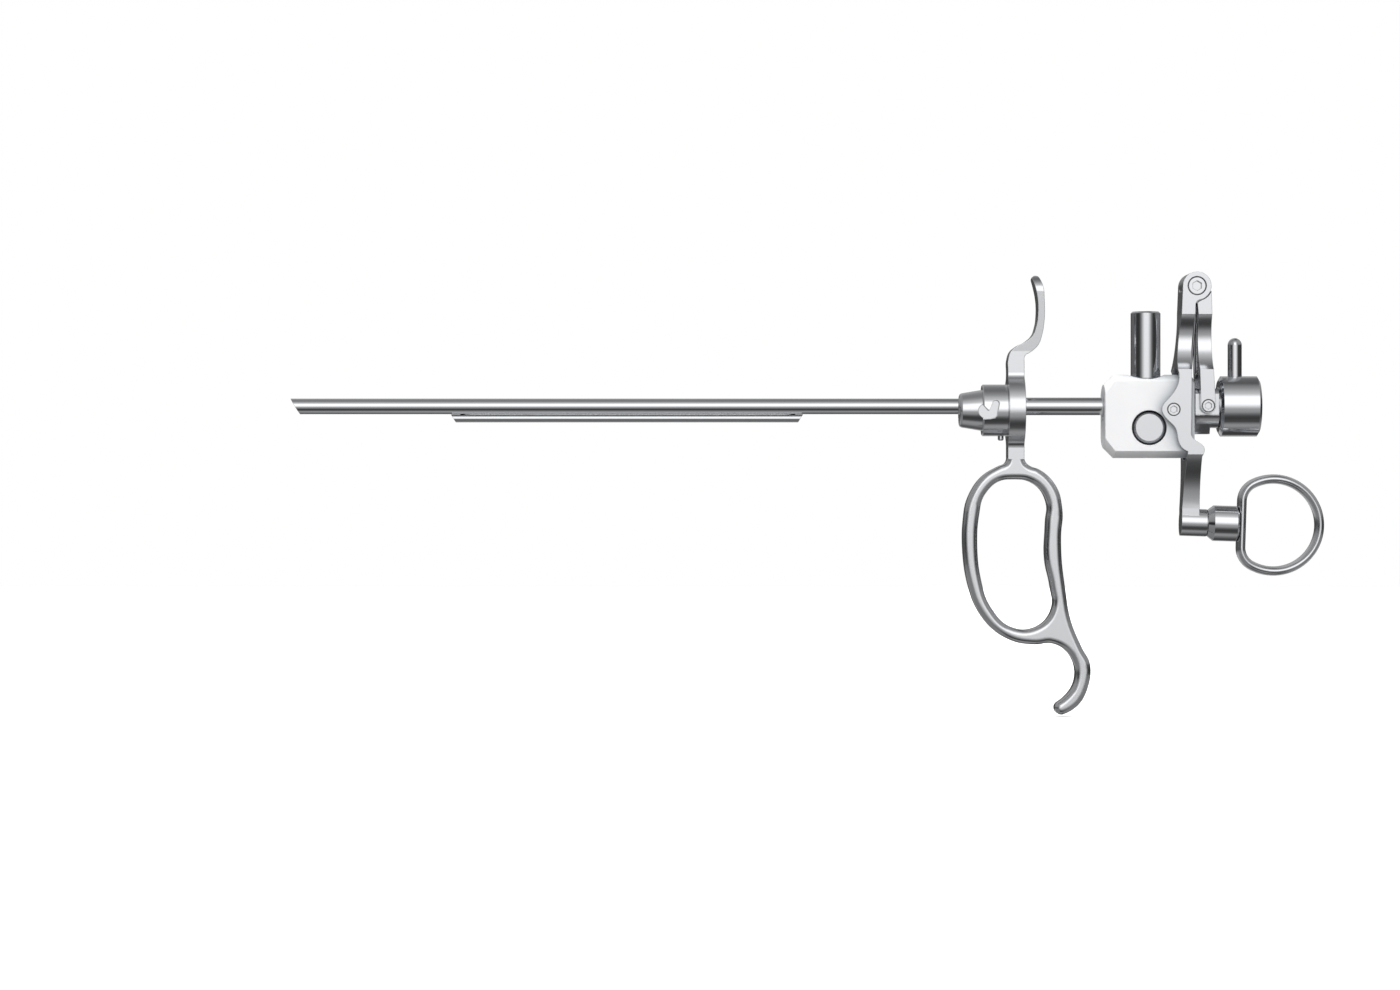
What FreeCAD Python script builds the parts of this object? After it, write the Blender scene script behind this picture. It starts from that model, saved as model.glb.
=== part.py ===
"""Working element of a bipolar resectoscope, in millimetres.

+X runs back towards the surgeon, +Z is up, and the origin lies on the telescope axis,
in the front face of the handle's plate.
"""
import FreeCAD, Part
import Sketcher
import math
import os

V = FreeCAD.Vector
X_AXIS = V(1, 0, 0)
Y_AXIS = V(0, 1, 0)
Z_AXIS = V(0, 0, 1)

doc = FreeCAD.newDocument("working_element")
sheet = doc.addObject("Spreadsheet::Sheet", "Sizes")

# Driving dimensions, each with what it measures
SIZES = (
    ("tube_od", 4.7, "telescope guide tube, outside"),
    ("tube_bore", 4.1, "bore for a 4 mm telescope"),
    ("tube_reach", 214.9, "plate to the tip's upper edge"),
    ("tip_bevel", 2.9, "how far the tip's lower edge stands back"),
    ("tube_joint", 2.0, "depth at which the front tube ends in the plate"),
    ("rear_tube_od", 5.3, "guide tube behind the plate, outside"),
    ("sleeve_od", 2.35, "electrode sleeve, outside"),
    ("sleeve_bore", 1.7, "electrode sleeve, bore"),
    ("sleeve_front", 166.8, "plate to the sleeve's front end"),
    ("sleeve_back", 61.2, "plate to the sleeve's rear end"),
    ("sleeve_bevel", 1.5, "slant of both sleeve ends"),
    ("channel_drop", 3.6, "electrode axis under the telescope axis"),
    ("channel_bore", 1.6, "electrode channel"),
    ("sheath_drop", 1.2, "sheath axis under the telescope axis"),
    ("braze_gap", 0.02, "radial gap of a brazed joint"),
    ("running_gap", 0.05, "radial gap of a running fit"),
    ("free_gap", 0.3, "gap between parts that pass each other"),
    ("cone_front", 14.4, "plate to the cone's front face"),
    ("cone_tip_od", 10.3, "cone, front diameter"),
    ("cone_base_od", 12.3, "cone, rear diameter"),
    ("cone_round", 0.8, "chamfer round the cone's front"),
    ("barrel_od", 15.5, "bayonet barrel, outside"),
    ("barrel_wall", 1.25, "wall of the bayonet barrel round its spigot"),
    ("barrel_length", 7.6, "bayonet barrel"),
    ("slot_width", 2.2, "bayonet slot"),
    ("slot_floor", 0.9, "depth of the flats milled in the spigot under the slot"),
    ("index_pin_od", 1.8, "index pin under the barrel"),
    ("index_pin_back", 1.9, "plate to the index pin's axis"),
    ("index_pin_out", 1.3, "how far the index pin stands out"),
    ("plate_thick", 4.9, "handle plate along the axis"),
    ("plate_wide", 8.0, "handle bars across"),
    ("hub_od", 21.0, "round hub of the plate"),
    ("hub_fillet", 2.4, "hub into bar"),
    ("rest_top", 39.2, "tip of the upper finger rest"),
    ("rest_reach", 10.9, "plate's front face to the upper rest's rear face"),
    ("rest_wide", 9.6, "upper finger rest, across its end"),
    ("edge_round", 1.7, "round of the finger loop's edges"),
    ("loop_deep", 29.5, "finger loop, outside, front to rear"),
    ("handle_low", 92.4, "telescope axis to the lower hook's tip"),
    ("block_front", 28.8, "plate to the carriage block"),
    ("block_length", 26.6, "carriage block"),
    ("block_od", 25.0, "carriage block, turned diameter"),
    ("block_drop", 3.0, "block's axis under the telescope axis"),
    ("block_wide", 13.6, "block across its flats"),
    ("block_chamfer", 3.0, "chamfer of the block's front"),
    ("block_edge", 0.8, "chamfer of the block's rear"),
    ("socket_back", 41.55, "plate to the bipolar socket's axis"),
    ("socket_od", 8.9, "socket barrel"),
    ("socket_bore", 7.2, "socket barrel, inside"),
    ("socket_top", 28.4, "top of the socket barrel"),
    ("socket_seat", 5.2, "foot of the socket barrel"),
    ("socket_foot_od", 8.3, "foot of the socket barrel, outside"),
    ("socket_relief", 0.4, "barrel's shoulder over the recess"),
    ("socket_edge", 0.5, "chamfer of the socket barrel"),
    ("socket_well", 8.0, "depth of the socket over its insulator"),
    ("spot_face_od", 11.6, "recess in the block round the socket"),
    ("spot_face_level", 8.0, "height of the recess over the telescope axis"),
    ("contact_od", 2.0, "centre contact"),
    ("contact_low", 1.9, "centre contact's tip under the barrel's top"),
    ("bridge_in", 6.2, "contact strip, inside diameter"),
    ("bridge_out", 7.8, "contact strip, outside diameter"),
    ("bridge_back", 37.4, "plate to the contact strip"),
    ("bridge_wide", 1.2, "contact strip, width"),
    ("button_back", 41.9, "plate to the lock button's axis"),
    ("button_drop", 6.5, "lock button's axis under the telescope axis"),
    ("button_od", 9.3, "lock button's head"),
    ("button_edge", 0.6, "bevel of the lock button"),
    ("button_proud", 0.2, "lock button's face in front of the flat"),
    ("button_thick", 2.6, "lock button's head, thickness"),
    ("button_stem_od", 6.4, "lock button's stem"),
    ("button_stem_end", 1.4, "stem's end past the mid-plane"),
    ("button_travel", 2.2, "stroke of the lock button"),
    ("button_hole_od", 10.4, "counterbore round the lock button"),
    ("catch_bore", 1.9, "electrode hole in the stem"),
    ("spring_od", 5.2, "lock spring, outside"),
    ("spring_wire", 0.6, "lock spring, wire"),
    ("spring_turns", 3.0, "lock spring, turns"),
    ("cap_od", 8.6, "screwed cap behind the lock spring"),
    ("cap_thick", 1.4, "screwed cap"),
    ("keeper_od", 1.6, "keeper pin under the stem"),
    ("lever_ahead", 6.4, "lever's pivot in front of the block's rear"),
    ("lever_back", "=block_front + block_length - lever_ahead", "plate to the lever's pivot"),
    ("lever_drop", 1.1, "lever's pivot under the telescope axis"),
    ("rear_gap", 0.4, "carriage block to the rear bridge"),
    ("rear_front", "=block_front + block_length + rear_gap", "plate to the rear bridge"),
    ("link_inset", 3.6, "front of the rear bridge to the link's pivot"),
    ("link_back", "=rear_front + link_inset", "plate to the link's pivot"),
    ("top_ahead", 3.1, "top pivot in front of the link's pivot"),
    ("top_back", "=link_back - top_ahead", "plate to the top pivot"),
    ("top_rise", 35.9, "top pivot over the telescope axis"),
    ("lever_wide", 17.4, "lever across its fork"),
    ("link_wide", 16.0, "link across its fork"),
    ("side_gap", 0.15, "gap between a fork's plate and what it straddles"),
    ("arch_od", 29.2, "arch of the lever's fork over the block"),
    ("cradle_od", 26.4, "cradle of the lever's fork under the block"),
    ("waist_wide", 6.6, "lever and link across their waist"),
    ("scoop_high", 27.4, "upper edge of the scooped waist"),
    ("scoop_low", 10.9, "lower edge of the scooped waist"),
    ("head_od", 8.5, "round head at the top pivot"),
    ("head_wide", 12.0, "head across"),
    ("tongue_wide", 6.4, "link's tongue between the lever's ears"),
    ("link_arch_od", 20.0, "arch of the link's fork over the rear bridge"),
    ("link_thick", 4.1, "link from front to rear"),
    ("link_end_od", 4.4, "link's lower end"),
    ("pivot_head_od", 3.8, "head of a pivot screw"),
    ("pivot_head_thick", 0.9, "head of a pivot screw"),
    ("pivot_shaft_od", 2.6, "shoulder of a pivot screw"),
    ("pivot_bite", 2.6, "pivot screw in the part that carries it"),
    ("top_screw_head_od", 5.6, "head of the top pivot screw"),
    ("top_screw_head_thick", 1.6, "head of the top pivot screw"),
    ("top_screw_od", 3.2, "shaft of the top pivot screw"),
    ("hex_across", 2.0, "socket of a pivot screw"),
    ("open_pivot_gap", 0.3, "radial play of the link on the top screw"),
    ("stem_wide", 7.0, "lever's stem across"),
    ("boss_od", 8.2, "boss at the lever's foot"),
    ("boss_behind", 3.0, "lever's pivot to the boss"),
    ("boss_front", "=lever_back + boss_behind", "plate to the boss"),
    ("boss_length", 7.7, "boss"),
    ("boss_drop", 34.7, "telescope axis to the boss"),
    ("ring_tilt", 1.8, "slope of the ring's post, degrees"),
    ("neck_length", 2.1, "boss to the collar's full width"),
    ("neck_od", 6.6, "neck of the post, sunk in the collar's cone"),
    ("collar_od", 10.65, "collar of the thumb ring"),
    ("collar_length", 7.4, "collar of the thumb ring"),
    ("post_od", 4.0, "post in the collar"),
    ("ring_wide", 7.0, "thumb ring across"),
    ("ring_thick", 2.8, "thumb ring in its plane"),
    ("ring_od", 30.4, "thumb ring, outside height"),
    ("ring_deep", 26.2, "thumb ring, outside depth"),
    ("ring_corner", 6.0, "corners of the thumb ring's flat side"),
    ("rear_tube_in", 6.2, "guide tube in the rear bridge"),
    ("rear_tube_end", "=rear_front + rear_tube_in", "rear end of the guide tube"),
    ("rear_length", 7.2, "body of the rear bridge"),
    ("rear_od", 13.0, "body of the rear bridge"),
    ("rear_flat_wide", 10.8, "rear bridge across its flats"),
    ("rear_flat_low", 2.7, "lower edge of the flats under the axis"),
    ("rear_top", 5.2, "top of the rear bridge"),
    ("tab_length", 4.7, "stop tab under the rear bridge"),
    ("tab_low", 8.3, "underside of the stop tab"),
    ("tab_wide", 4.4, "stop tab across its underside"),
    ("spigot_od", 11.4, "spigot inside the lock ring"),
    ("spigot_reach", 18.8, "front of the rear bridge to the spigot's end"),
    ("spigot_end", "=rear_front + spigot_reach", "rear end of the spigot"),
    ("seat_od", 9.4, "telescope seat in the spigot"),
    ("seat_depth", 5.6, "telescope seat in the spigot"),
    ("seal_od", 6.8, "telescope seal"),
    ("seal_length", 1.6, "telescope seal"),
    ("gland_length", 3.0, "gland behind the seal"),
    ("gland_od", 7.6, "gland behind the seal"),
    ("knob_inset", 7.5, "front of the rear bridge to the lock ring"),
    ("knob_front", "=rear_front + knob_inset", "plate to the lock ring"),
    ("knob_length", 12.2, "lock ring"),
    ("knob_od", 18.1, "lock ring"),
    ("knob_edge", 1.0, "chamfer of the lock ring"),
    ("knob_bore_back", 13.0, "rear recess of the lock ring"),
    ("clip_thick", 0.8, "retaining ring of the lock ring"),
    ("knob_pin_inset", 5.0, "lock ring's front to its lever pin"),
    ("knob_pin_back", "=knob_front + knob_pin_inset", "plate to the lock ring's lever pin"),
    ("knob_pin_od", 4.25, "lever pin"),
    ("knob_pin_top", 20.5, "top of the lever pin"),
    ("knob_pin_bite", 2.0, "lever pin in the lock ring"),
    ("return_wire", 0.7, "return spring, wire"),
    ("return_coil", 5.2, "return spring, mean diameter of its coil"),
    ("return_leg", 26.0, "return spring, length of its legs"),
)

for row, (alias, value, meaning) in enumerate(SIZES, 1):
    sheet.set("A%d" % row, meaning)
    sheet.set("B%d" % row, str(value))
    sheet.setAlias("B%d" % row, alias)
doc.recompute()

pieces = []


def size(alias):
    """A driving dimension as a number."""
    return float(sheet.get(alias))


def number(expression):
    """The value of an expression in the sheet's terms."""
    probe.setExpression("Offset", expression)
    probe.recompute()
    return float(probe.Offset)


probe = doc.addObject("App::FeaturePython", "Probe")
probe.addProperty("App::PropertyFloat", "Offset")


def origin_plane(body, role):
    return [item for item in body.Origin.OriginFeatures if item.Role == role][0]


def add_profile(body, name, role, outline):
    """A closed outline of straight edges, each corner bound to two expressions."""
    sketch = body.newObject("Sketcher::SketchObject", name)
    sketch.AttachmentSupport = (origin_plane(body, role), [""])
    sketch.MapMode = "FlatFace"
    corners = [V(number(across), number(along), 0) for across, along in outline]
    count = len(corners)
    for index in range(count):
        sketch.addGeometry(Part.LineSegment(corners[index], corners[(index + 1) % count]), False)
    for index in range(count):
        sketch.addConstraint(Sketcher.Constraint("Coincident", index, 2, (index + 1) % count, 1))
    for index, (across, along) in enumerate(outline):
        for kind, expression in (("DistanceX", across), ("DistanceY", along)):
            term = sketch.addConstraint(
                Sketcher.Constraint(kind, -1, 1, index, 1, number(expression)))
            sketch.setExpression("Constraints[%d]" % term, expression)
    return sketch


def new_body(label, place=None):
    body = doc.addObject("PartDesign::Body", label)
    body.Label = label
    if place:
        for letter, expression in zip("xyz", place):
            body.setExpression("Placement.Base." + letter, expression)
    return body


def revolve(body, outline, role="XZ_Plane", axis="H_Axis", groove=False):
    """Turns an outline into the body, or cuts it away as a groove."""
    kind = "PartDesign::Groove" if groove else "PartDesign::Revolution"
    count = str(len(body.Group))
    sketch = add_profile(body, body.Name + "_outline" + count, role, outline)
    feature = body.newObject(kind, body.Name + "_turned" + count)
    feature.Profile = sketch
    feature.ReferenceAxis = (sketch, [axis])
    feature.Angle = 360
    return feature


def pocket(body, outline, role="XZ_Plane"):
    """Cuts an outline right through the body, to both sides of its plane."""
    count = str(len(body.Group))
    sketch = add_profile(body, body.Name + "_outline" + count, role, outline)
    feature = body.newObject("PartDesign::Pocket", body.Name + "_cut" + count)
    feature.Profile = sketch
    feature.Type = "ThroughAll"
    feature.SideType = "Symmetric"
    return feature


def keep(item):
    pieces.append(item)
    return item


def stock(kind, name, values, place, turn=None):
    """A primitive bound to the sheet; turn is its rotation."""
    item = doc.addObject("Part::" + kind, name)
    for key, expression in values.items():
        item.setExpression(key, expression)
    if turn:
        item.Placement = FreeCAD.Placement(V(0, 0, 0), turn)
    for letter, expression in zip("xyz", place):
        item.setExpression("Placement.Base." + letter, expression)
    return item


ALONG_X = FreeCAD.Rotation(Z_AXIS, X_AXIS)
ALONG_Y = FreeCAD.Rotation(Z_AXIS, Y_AXIS)


def cut(label, base, tools):
    """The base less its tools, as a named piece."""
    result = doc.addObject("Part::Cut", label)
    result.Base = base
    if len(tools) == 1:
        result.Tool = tools[0]
    else:
        group = doc.addObject("Part::MultiFuse", label + "_tools")
        group.Shapes = tools
        result.Tool = group
    return result


def formed(label, shape, place=None):
    """A piece whose form comes from curves that no feature draws."""
    item = doc.addObject("Part::Feature", label)
    item.Shape = shape
    if place:
        item.Placement = place
    return keep(item)


def box_between(low, high):
    return Part.makeBox(high[0] - low[0], high[1] - low[1], high[2] - low[2], V(*low))


def rod(start, end, radius):
    step = V(*end) - V(*start)
    return Part.makeCylinder(radius, step.Length, V(*start), step)


def prism(points, half_wide):
    """A side outline (x, z), pushed out to both sides of the mid-plane."""
    corners = [V(x, -half_wide, z) for x, z in points]
    face = Part.Face(Part.makePolygon(corners + corners[:1]))
    return face.extrude(V(0, 2 * half_wide, 0))


def front_prism(points, low, high):
    """A front outline (y, z), pushed along the axis from low to high."""
    corners = [V(low, y, z) for y, z in points]
    face = Part.Face(Part.makePolygon(corners + corners[:1]))
    return face.extrude(V(high - low, 0, 0))


# Telescope guide tube, with a slanted tip

def make_guide_tube():
    body = new_body("guide_tube")
    revolve(body, (
        ("-Sizes.tube_reach", "Sizes.tube_bore / 2"),
        ("Sizes.tube_joint", "Sizes.tube_bore / 2"),
        ("Sizes.tube_joint", "Sizes.tube_od / 2"),
        ("-Sizes.tube_reach", "Sizes.tube_od / 2")))
    pocket(body, (
        ("-Sizes.tube_reach - 1", "Sizes.tube_od / 2 + 1"),
        ("-Sizes.tube_reach - Sizes.tip_bevel / Sizes.tube_od", "Sizes.tube_od / 2 + 1"),
        ("-Sizes.tube_reach + Sizes.tip_bevel * (1 + 1 / Sizes.tube_od)",
         "-Sizes.tube_od / 2 - 1"),
        ("-Sizes.tube_reach - 1", "-Sizes.tube_od / 2 - 1")))
    keep(body)


def make_rear_guide_tube():
    body = new_body("rear_guide_tube")
    revolve(body, (
        ("Sizes.tube_joint", "Sizes.tube_bore / 2"),
        ("Sizes.rear_tube_end", "Sizes.tube_bore / 2"),
        ("Sizes.rear_tube_end", "Sizes.rear_tube_od / 2"),
        ("Sizes.tube_joint", "Sizes.rear_tube_od / 2")))
    keep(body)


# Electrode sleeve brazed under the tube, both ends cut on the slant

def make_stabilizer_sleeve():
    body = new_body("stabilizer_sleeve", ("0", "0", "-Sizes.channel_drop"))
    revolve(body, (
        ("-Sizes.sleeve_front", "Sizes.sleeve_bore / 2"),
        ("-Sizes.sleeve_back", "Sizes.sleeve_bore / 2"),
        ("-Sizes.sleeve_back", "Sizes.sleeve_od / 2"),
        ("-Sizes.sleeve_front", "Sizes.sleeve_od / 2")))
    for end, side in (("-Sizes.sleeve_front", "+"), ("-Sizes.sleeve_back", "-")):
        away = "-" if side == "+" else "+"
        pocket(body, (
            (end, "Sizes.sleeve_od / 2"),
            (end + side + "Sizes.sleeve_bevel", "-Sizes.sleeve_od / 2"),
            (end + side + "Sizes.sleeve_bevel", "-Sizes.sleeve_od"),
            (end + away + "Sizes.sleeve_bevel", "-Sizes.sleeve_od"),
            (end + away + "Sizes.sleeve_bevel", "Sizes.sleeve_od / 2")))
    keep(body)


# Cone and bayonet barrel, on the sheath's own axis

def bayonet_slot(reach):
    """The slot runs in from the mouth on the slant and hooks up to its round seat."""
    wide = size("slot_width")
    back = -size("barrel_length") * 0.36
    mouth = back - wide * 2.68
    outline = [(mouth, wide * 1.2), (back - wide * 1.43, -wide * 0.125), (back - wide, wide * 0.88),
               (back, wide * 0.84), (back - wide * 0.32, -wide * 0.84),
               (back - wide * 0.58, -wide * 1.07), (back - wide * 1.2, -wide * 1.22),
               (mouth, -wide * 1.3)]
    middle = back - wide / 2
    seat = rod((middle, -reach, wide * 0.84), (middle, reach, wide * 0.84), wide / 2)
    return prism(outline, reach).fuse(seat)


def make_sheath_cone():
    body = new_body("sheath_cone_turned", ("0", "0", "-Sizes.sheath_drop"))
    revolve(body, (
        ("-Sizes.cone_front", "0"),
        ("-Sizes.cone_front", "Sizes.cone_tip_od / 2 - Sizes.cone_round"),
        ("-Sizes.cone_front + Sizes.cone_round * 0.3", "Sizes.cone_tip_od / 2 - Sizes.cone_round * 0.3"),
        ("-Sizes.cone_front + Sizes.cone_round", "Sizes.cone_tip_od / 2"),
        ("-Sizes.barrel_length", "Sizes.cone_base_od / 2"),
        ("-Sizes.barrel_length", "(Sizes.barrel_od / 2 - Sizes.barrel_wall) - Sizes.braze_gap"),
        ("0", "(Sizes.barrel_od / 2 - Sizes.barrel_wall) - Sizes.braze_gap"),
        ("0", "0")))
    tube_bore = stock("Cylinder", "cone_tube_bore", {
        "Radius": "Sizes.tube_od / 2 + Sizes.braze_gap",
        "Height": "Sizes.cone_front + 2"}, ("-Sizes.cone_front - 1", "0", "0"), ALONG_X)
    channel = stock("Cylinder", "cone_channel", {
        "Radius": "Sizes.channel_bore / 2",
        "Height": "Sizes.cone_front + 2"},
        ("-Sizes.cone_front - 1", "0", "-Sizes.channel_drop"), ALONG_X)
    wide = size("slot_width")
    reach = size("barrel_od") / 2
    flat = reach - size("barrel_wall") - size("slot_floor")
    nose = -size("barrel_length") + wide * 0.3
    slot = bayonet_slot(reach).common(box_between((-size("barrel_length"), -reach, -reach), (0, reach, reach)))
    milled = slot.fuse(rod((nose, -reach, -wide * 0.1), (nose, reach, -wide * 0.1), wide * 0.95))
    core = box_between((-size("cone_front"), -flat, -reach), (0, flat, reach))
    flats = doc.addObject("Part::Feature", "cone_flats")
    flats.Shape = milled.cut(core)
    flats.Placement = FreeCAD.Placement(V(0, 0, -size("sheath_drop")), FreeCAD.Rotation())
    keep(cut("sheath_cone", body, [tube_bore, channel, flats]))


def make_bayonet_barrel():
    axis = "-Sizes.sheath_drop"
    tube = new_body("bayonet_ring", ("0", "0", axis))
    revolve(tube, (
        ("-Sizes.barrel_length", "(Sizes.barrel_od / 2 - Sizes.barrel_wall)"),
        ("0", "(Sizes.barrel_od / 2 - Sizes.barrel_wall)"),
        ("0", "Sizes.barrel_od / 2"),
        ("-Sizes.barrel_length + 0.3", "Sizes.barrel_od / 2"),
        ("-Sizes.barrel_length", "Sizes.barrel_od / 2 - 0.3")))
    reach = size("barrel_od") / 2 + 1
    pin_x = -size("index_pin_back")
    pin_hole = rod((pin_x, 0, -size("sheath_drop")), (pin_x, 0, -size("barrel_od")),
                   size("index_pin_od") / 2)
    slot = bayonet_slot(reach)
    slot.translate(V(0, 0, -size("sheath_drop")))
    cutters = doc.addObject("Part::Feature", "bayonet_cutters")
    cutters.Shape = slot.fuse(pin_hole)
    keep(cut("bayonet_barrel", tube, [cutters]))


def make_index_pin():
    body = new_body("index_pin", (
        "-Sizes.index_pin_back", "0",
        "-Sizes.sheath_drop - Sizes.barrel_od / 2 - Sizes.index_pin_out"))
    top = "Sizes.index_pin_out + Sizes.barrel_wall - Sizes.braze_gap * 2"
    revolve(body, (
        ("0", "0"),
        ("Sizes.index_pin_od / 2 - 0.3", "0"),
        ("Sizes.index_pin_od / 2 - Sizes.braze_gap", "0.3"),
        ("Sizes.index_pin_od / 2 - Sizes.braze_gap", top),
        ("0", top)), axis="V_Axis")
    keep(body)


# Handle casting: hub, upper finger rest, finger loop and lower hook in one

def headings(points, closed):
    """Unit directions in which a smooth curve passes through its points."""
    count = len(points)
    found = []
    for index in range(count):
        ahead = points[(index + 1) % count] - points[index]
        behind = points[index] - points[index - 1]
        found.append(behind * (ahead.Length / behind.Length) + ahead * (behind.Length / ahead.Length))
    if not closed:
        for end, beside, chord in ((0, 1, points[1] - points[0]), (-1, -2, points[-1] - points[-2])):
            chord.normalize()
            turn = found[beside] * (1 / found[beside].Length)
            found[end] = chord * (2 * turn.dot(chord)) - turn
    return [item * (1 / item.Length) for item in found]


def bow(start, heading, end):
    """An arc that leaves its start along a heading, or a line if it needs no bend."""
    chord = end - start
    across = heading - chord * (heading.dot(chord) / chord.dot(chord))
    if across.Length < 0.0001:
        return Part.makeLine(start, end)
    lean = heading.getAngle(chord)
    middle = (start + end) * 0.5 + across * (chord.Length / 2 * math.tan(lean / 2) / across.Length)
    return Part.Arc(start, middle, end).toShape()


def smooth_edges(outline, across, along, closed=False, first=None, last=None):
    """Pairs of tangent arcs through an outline given as shares of two lengths."""
    points = [V(x * across, 0, z * along) for x, z in outline]
    ways = headings(points, closed)
    ways[0] = first or ways[0]
    ways[-1] = last or ways[-1]
    edges = []
    for index in range(len(points) if closed else len(points) - 1):
        following = (index + 1) % len(points)
        start, end = points[index], points[following]
        leaving, arriving = ways[index], ways[following]
        chord = end - start
        both = leaving + arriving
        turn = 2 * (1 - leaving.dot(arriving))
        if turn < 0.000001:
            reach = chord.dot(chord) / (4 * chord.dot(arriving))
        else:
            reach = (math.sqrt(chord.dot(both) ** 2 + turn * chord.dot(chord)) - chord.dot(both)) / turn
        meeting = (start + end + (leaving - arriving) * reach) * 0.5
        edges += [bow(start, leaving, meeting), bow(end, arriving * -1, meeting)]
    return edges


def make_finger_rest():
    """The upper rest: its side outline, widened a little towards the top."""
    top = size("rest_top")
    reach = size("rest_reach")
    plate = size("plate_thick")
    distal = ((0.0, 0.26), (0.0, 0.35), (0.092, 0.423), (0.237, 0.457), (0.483, 0.492),
              (0.681, 0.541), (0.781, 0.617), (0.821, 0.714), (0.807, 0.82), (0.688, 0.958))
    proximal = ((0.857, 0.987), (0.95, 0.925), (1.0, 0.79), (0.995, 0.65), (0.941, 0.553),
                (0.835, 0.469), (0.661, 0.42), (0.498, 0.394))
    tip = (0.737 * reach, 0.998 * top)
    edges = smooth_edges(distal, reach, top, first=Z_AXIS)
    edges += smooth_edges(proximal, reach, top)
    edges += [arc((distal[-1][0] * reach, distal[-1][1] * top), tip,
                  (proximal[0][0] * reach, proximal[0][1] * top)),
              arc((proximal[-1][0] * reach, proximal[-1][1] * top), (plate * 1.02, top * 0.375),
                  (plate, top * 0.34)),
              line((plate, top * 0.34), (plate, top * 0.26)),
              line((plate, top * 0.26), (0, top * 0.26))]
    blade = side_solid(edges, size("rest_wide"))
    half = size("plate_wide") / 2
    full = size("rest_wide") / 2
    sides = []
    for side in (-1, 1):
        sides += [
            Part.makeLine(V(0, side * half, top * 0.26), V(0, side * half, top * 0.42)),
            Part.makeLine(V(0, side * half, top * 0.42), V(0, side * full, top - full)),
            Part.Arc(V(0, side * full, top - full), V(0, side * full * 0.71, top - full * 0.29),
                     V(0, 0, top)).toShape()]
    sides.append(Part.makeLine(V(0, -half, top * 0.26), V(0, half, top * 0.26)))
    paddle = Part.Face(Part.Wire(Part.__sortEdges__(sides))).extrude(V(reach * 2, 0, 0))
    paddle.translate(V(-reach / 2, 0, 0))
    return blade.common(paddle)


def make_finger_loop():
    """Finger loop and lower hook from their side outlines, all edges rounded."""
    wide = size("plate_wide") / 2
    deep = size("loop_deep")
    low = size("handle_low")
    front = ((0.0, -0.141), (0.0, -0.165), (-0.03, -0.186), (-0.081, -0.193), (-0.264, -0.229),
             (-0.403, -0.298), (-0.451, -0.384), (-0.451, -0.471), (-0.417, -0.555), (-0.305, -0.66),
             (-0.142, -0.725), (0.051, -0.761), (0.281, -0.772), (0.437, -0.768), (0.59, -0.791),
             (0.681, -0.841), (0.675, -0.896), (0.569, -0.945), (0.505, -0.96))
    tip = (0.48 * deep, -0.984 * low)
    rear = ((0.556, -0.999), (0.715, -0.969), (0.82, -0.906), (0.834, -0.833), (0.746, -0.777),
            (0.641, -0.694), (0.583, -0.588), (0.549, -0.498), (0.542, -0.427), (0.556, -0.335),
            (0.505, -0.266), (0.319, -0.2045), (0.227, -0.193), (0.19, -0.184), (0.166, -0.165),
            (0.166, -0.141))
    inner = ((0.08, -0.237), (0.19, -0.24), (0.305, -0.26), (0.4, -0.315), (0.39, -0.379),
             (0.383, -0.498), (0.437, -0.584), (0.458, -0.647), (0.373, -0.698), (0.197, -0.724),
             (0.01, -0.711), (-0.183, -0.644), (-0.281, -0.545), (-0.308, -0.455), (-0.295, -0.365),
             (-0.234, -0.288), (-0.088, -0.2435))
    outer = smooth_edges(front, deep, low, first=Z_AXIS * -1)
    outer += [arc((front[-1][0] * deep, front[-1][1] * low), tip, (rear[0][0] * deep, rear[0][1] * low))]
    outer += smooth_edges(rear, deep, low, last=Z_AXIS)
    outer.append(line((rear[-1][0] * deep, rear[-1][1] * low), (front[0][0] * deep, front[0][1] * low)))
    hole = side_solid(smooth_edges(inner, deep, low, closed=True), wide)
    solid = side_solid(outer, wide).cut(hole)
    rims = [edge for edge in solid.Edges
            if edge.BoundBox.YLength < 0.01 and edge.BoundBox.ZMin < front[0][1] * low - 0.01]
    return solid.makeFillet(size("edge_round"), rims)


def make_handle_frame():
    plate = size("plate_thick")
    wide = size("plate_wide")
    drop = size("sheath_drop")
    radius = size("hub_od") / 2
    hub = Part.makeCylinder(radius, plate, V(0, 0, -drop), X_AXIS)
    bar = box_between((0, -wide / 2, -size("handle_low") * 0.173), (plate, wide / 2, size("rest_top") * 0.3))
    body = hub.fuse(bar).removeSplitter()
    inner = [edge for edge in body.Edges
             if edge.BoundBox.XLength > plate * 0.9 and edge.BoundBox.YLength < 0.01
             and edge.BoundBox.ZLength < 0.01
             and abs(math.hypot(edge.CenterOfMass.y, edge.CenterOfMass.z + drop) - radius) < 0.01]
    body = body.makeFillet(size("hub_fillet"), inner)
    solid = body.fuse([make_finger_rest(), make_finger_loop()])
    gap = size("braze_gap")
    joint = size("tube_joint")
    channel = -size("channel_drop")
    solid = solid.cut([
        rod((-1, 0, 0), (joint, 0, 0), size("tube_od") / 2 + gap),
        rod((joint, 0, 0), (plate + 1, 0, 0), size("rear_tube_od") / 2 + gap),
        rod((-1, 0, channel), (plate + 1, 0, channel), size("channel_bore") / 2)])
    formed("handle_frame", solid)


# Carriage: white block with the bipolar socket and the electrode lock

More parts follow.
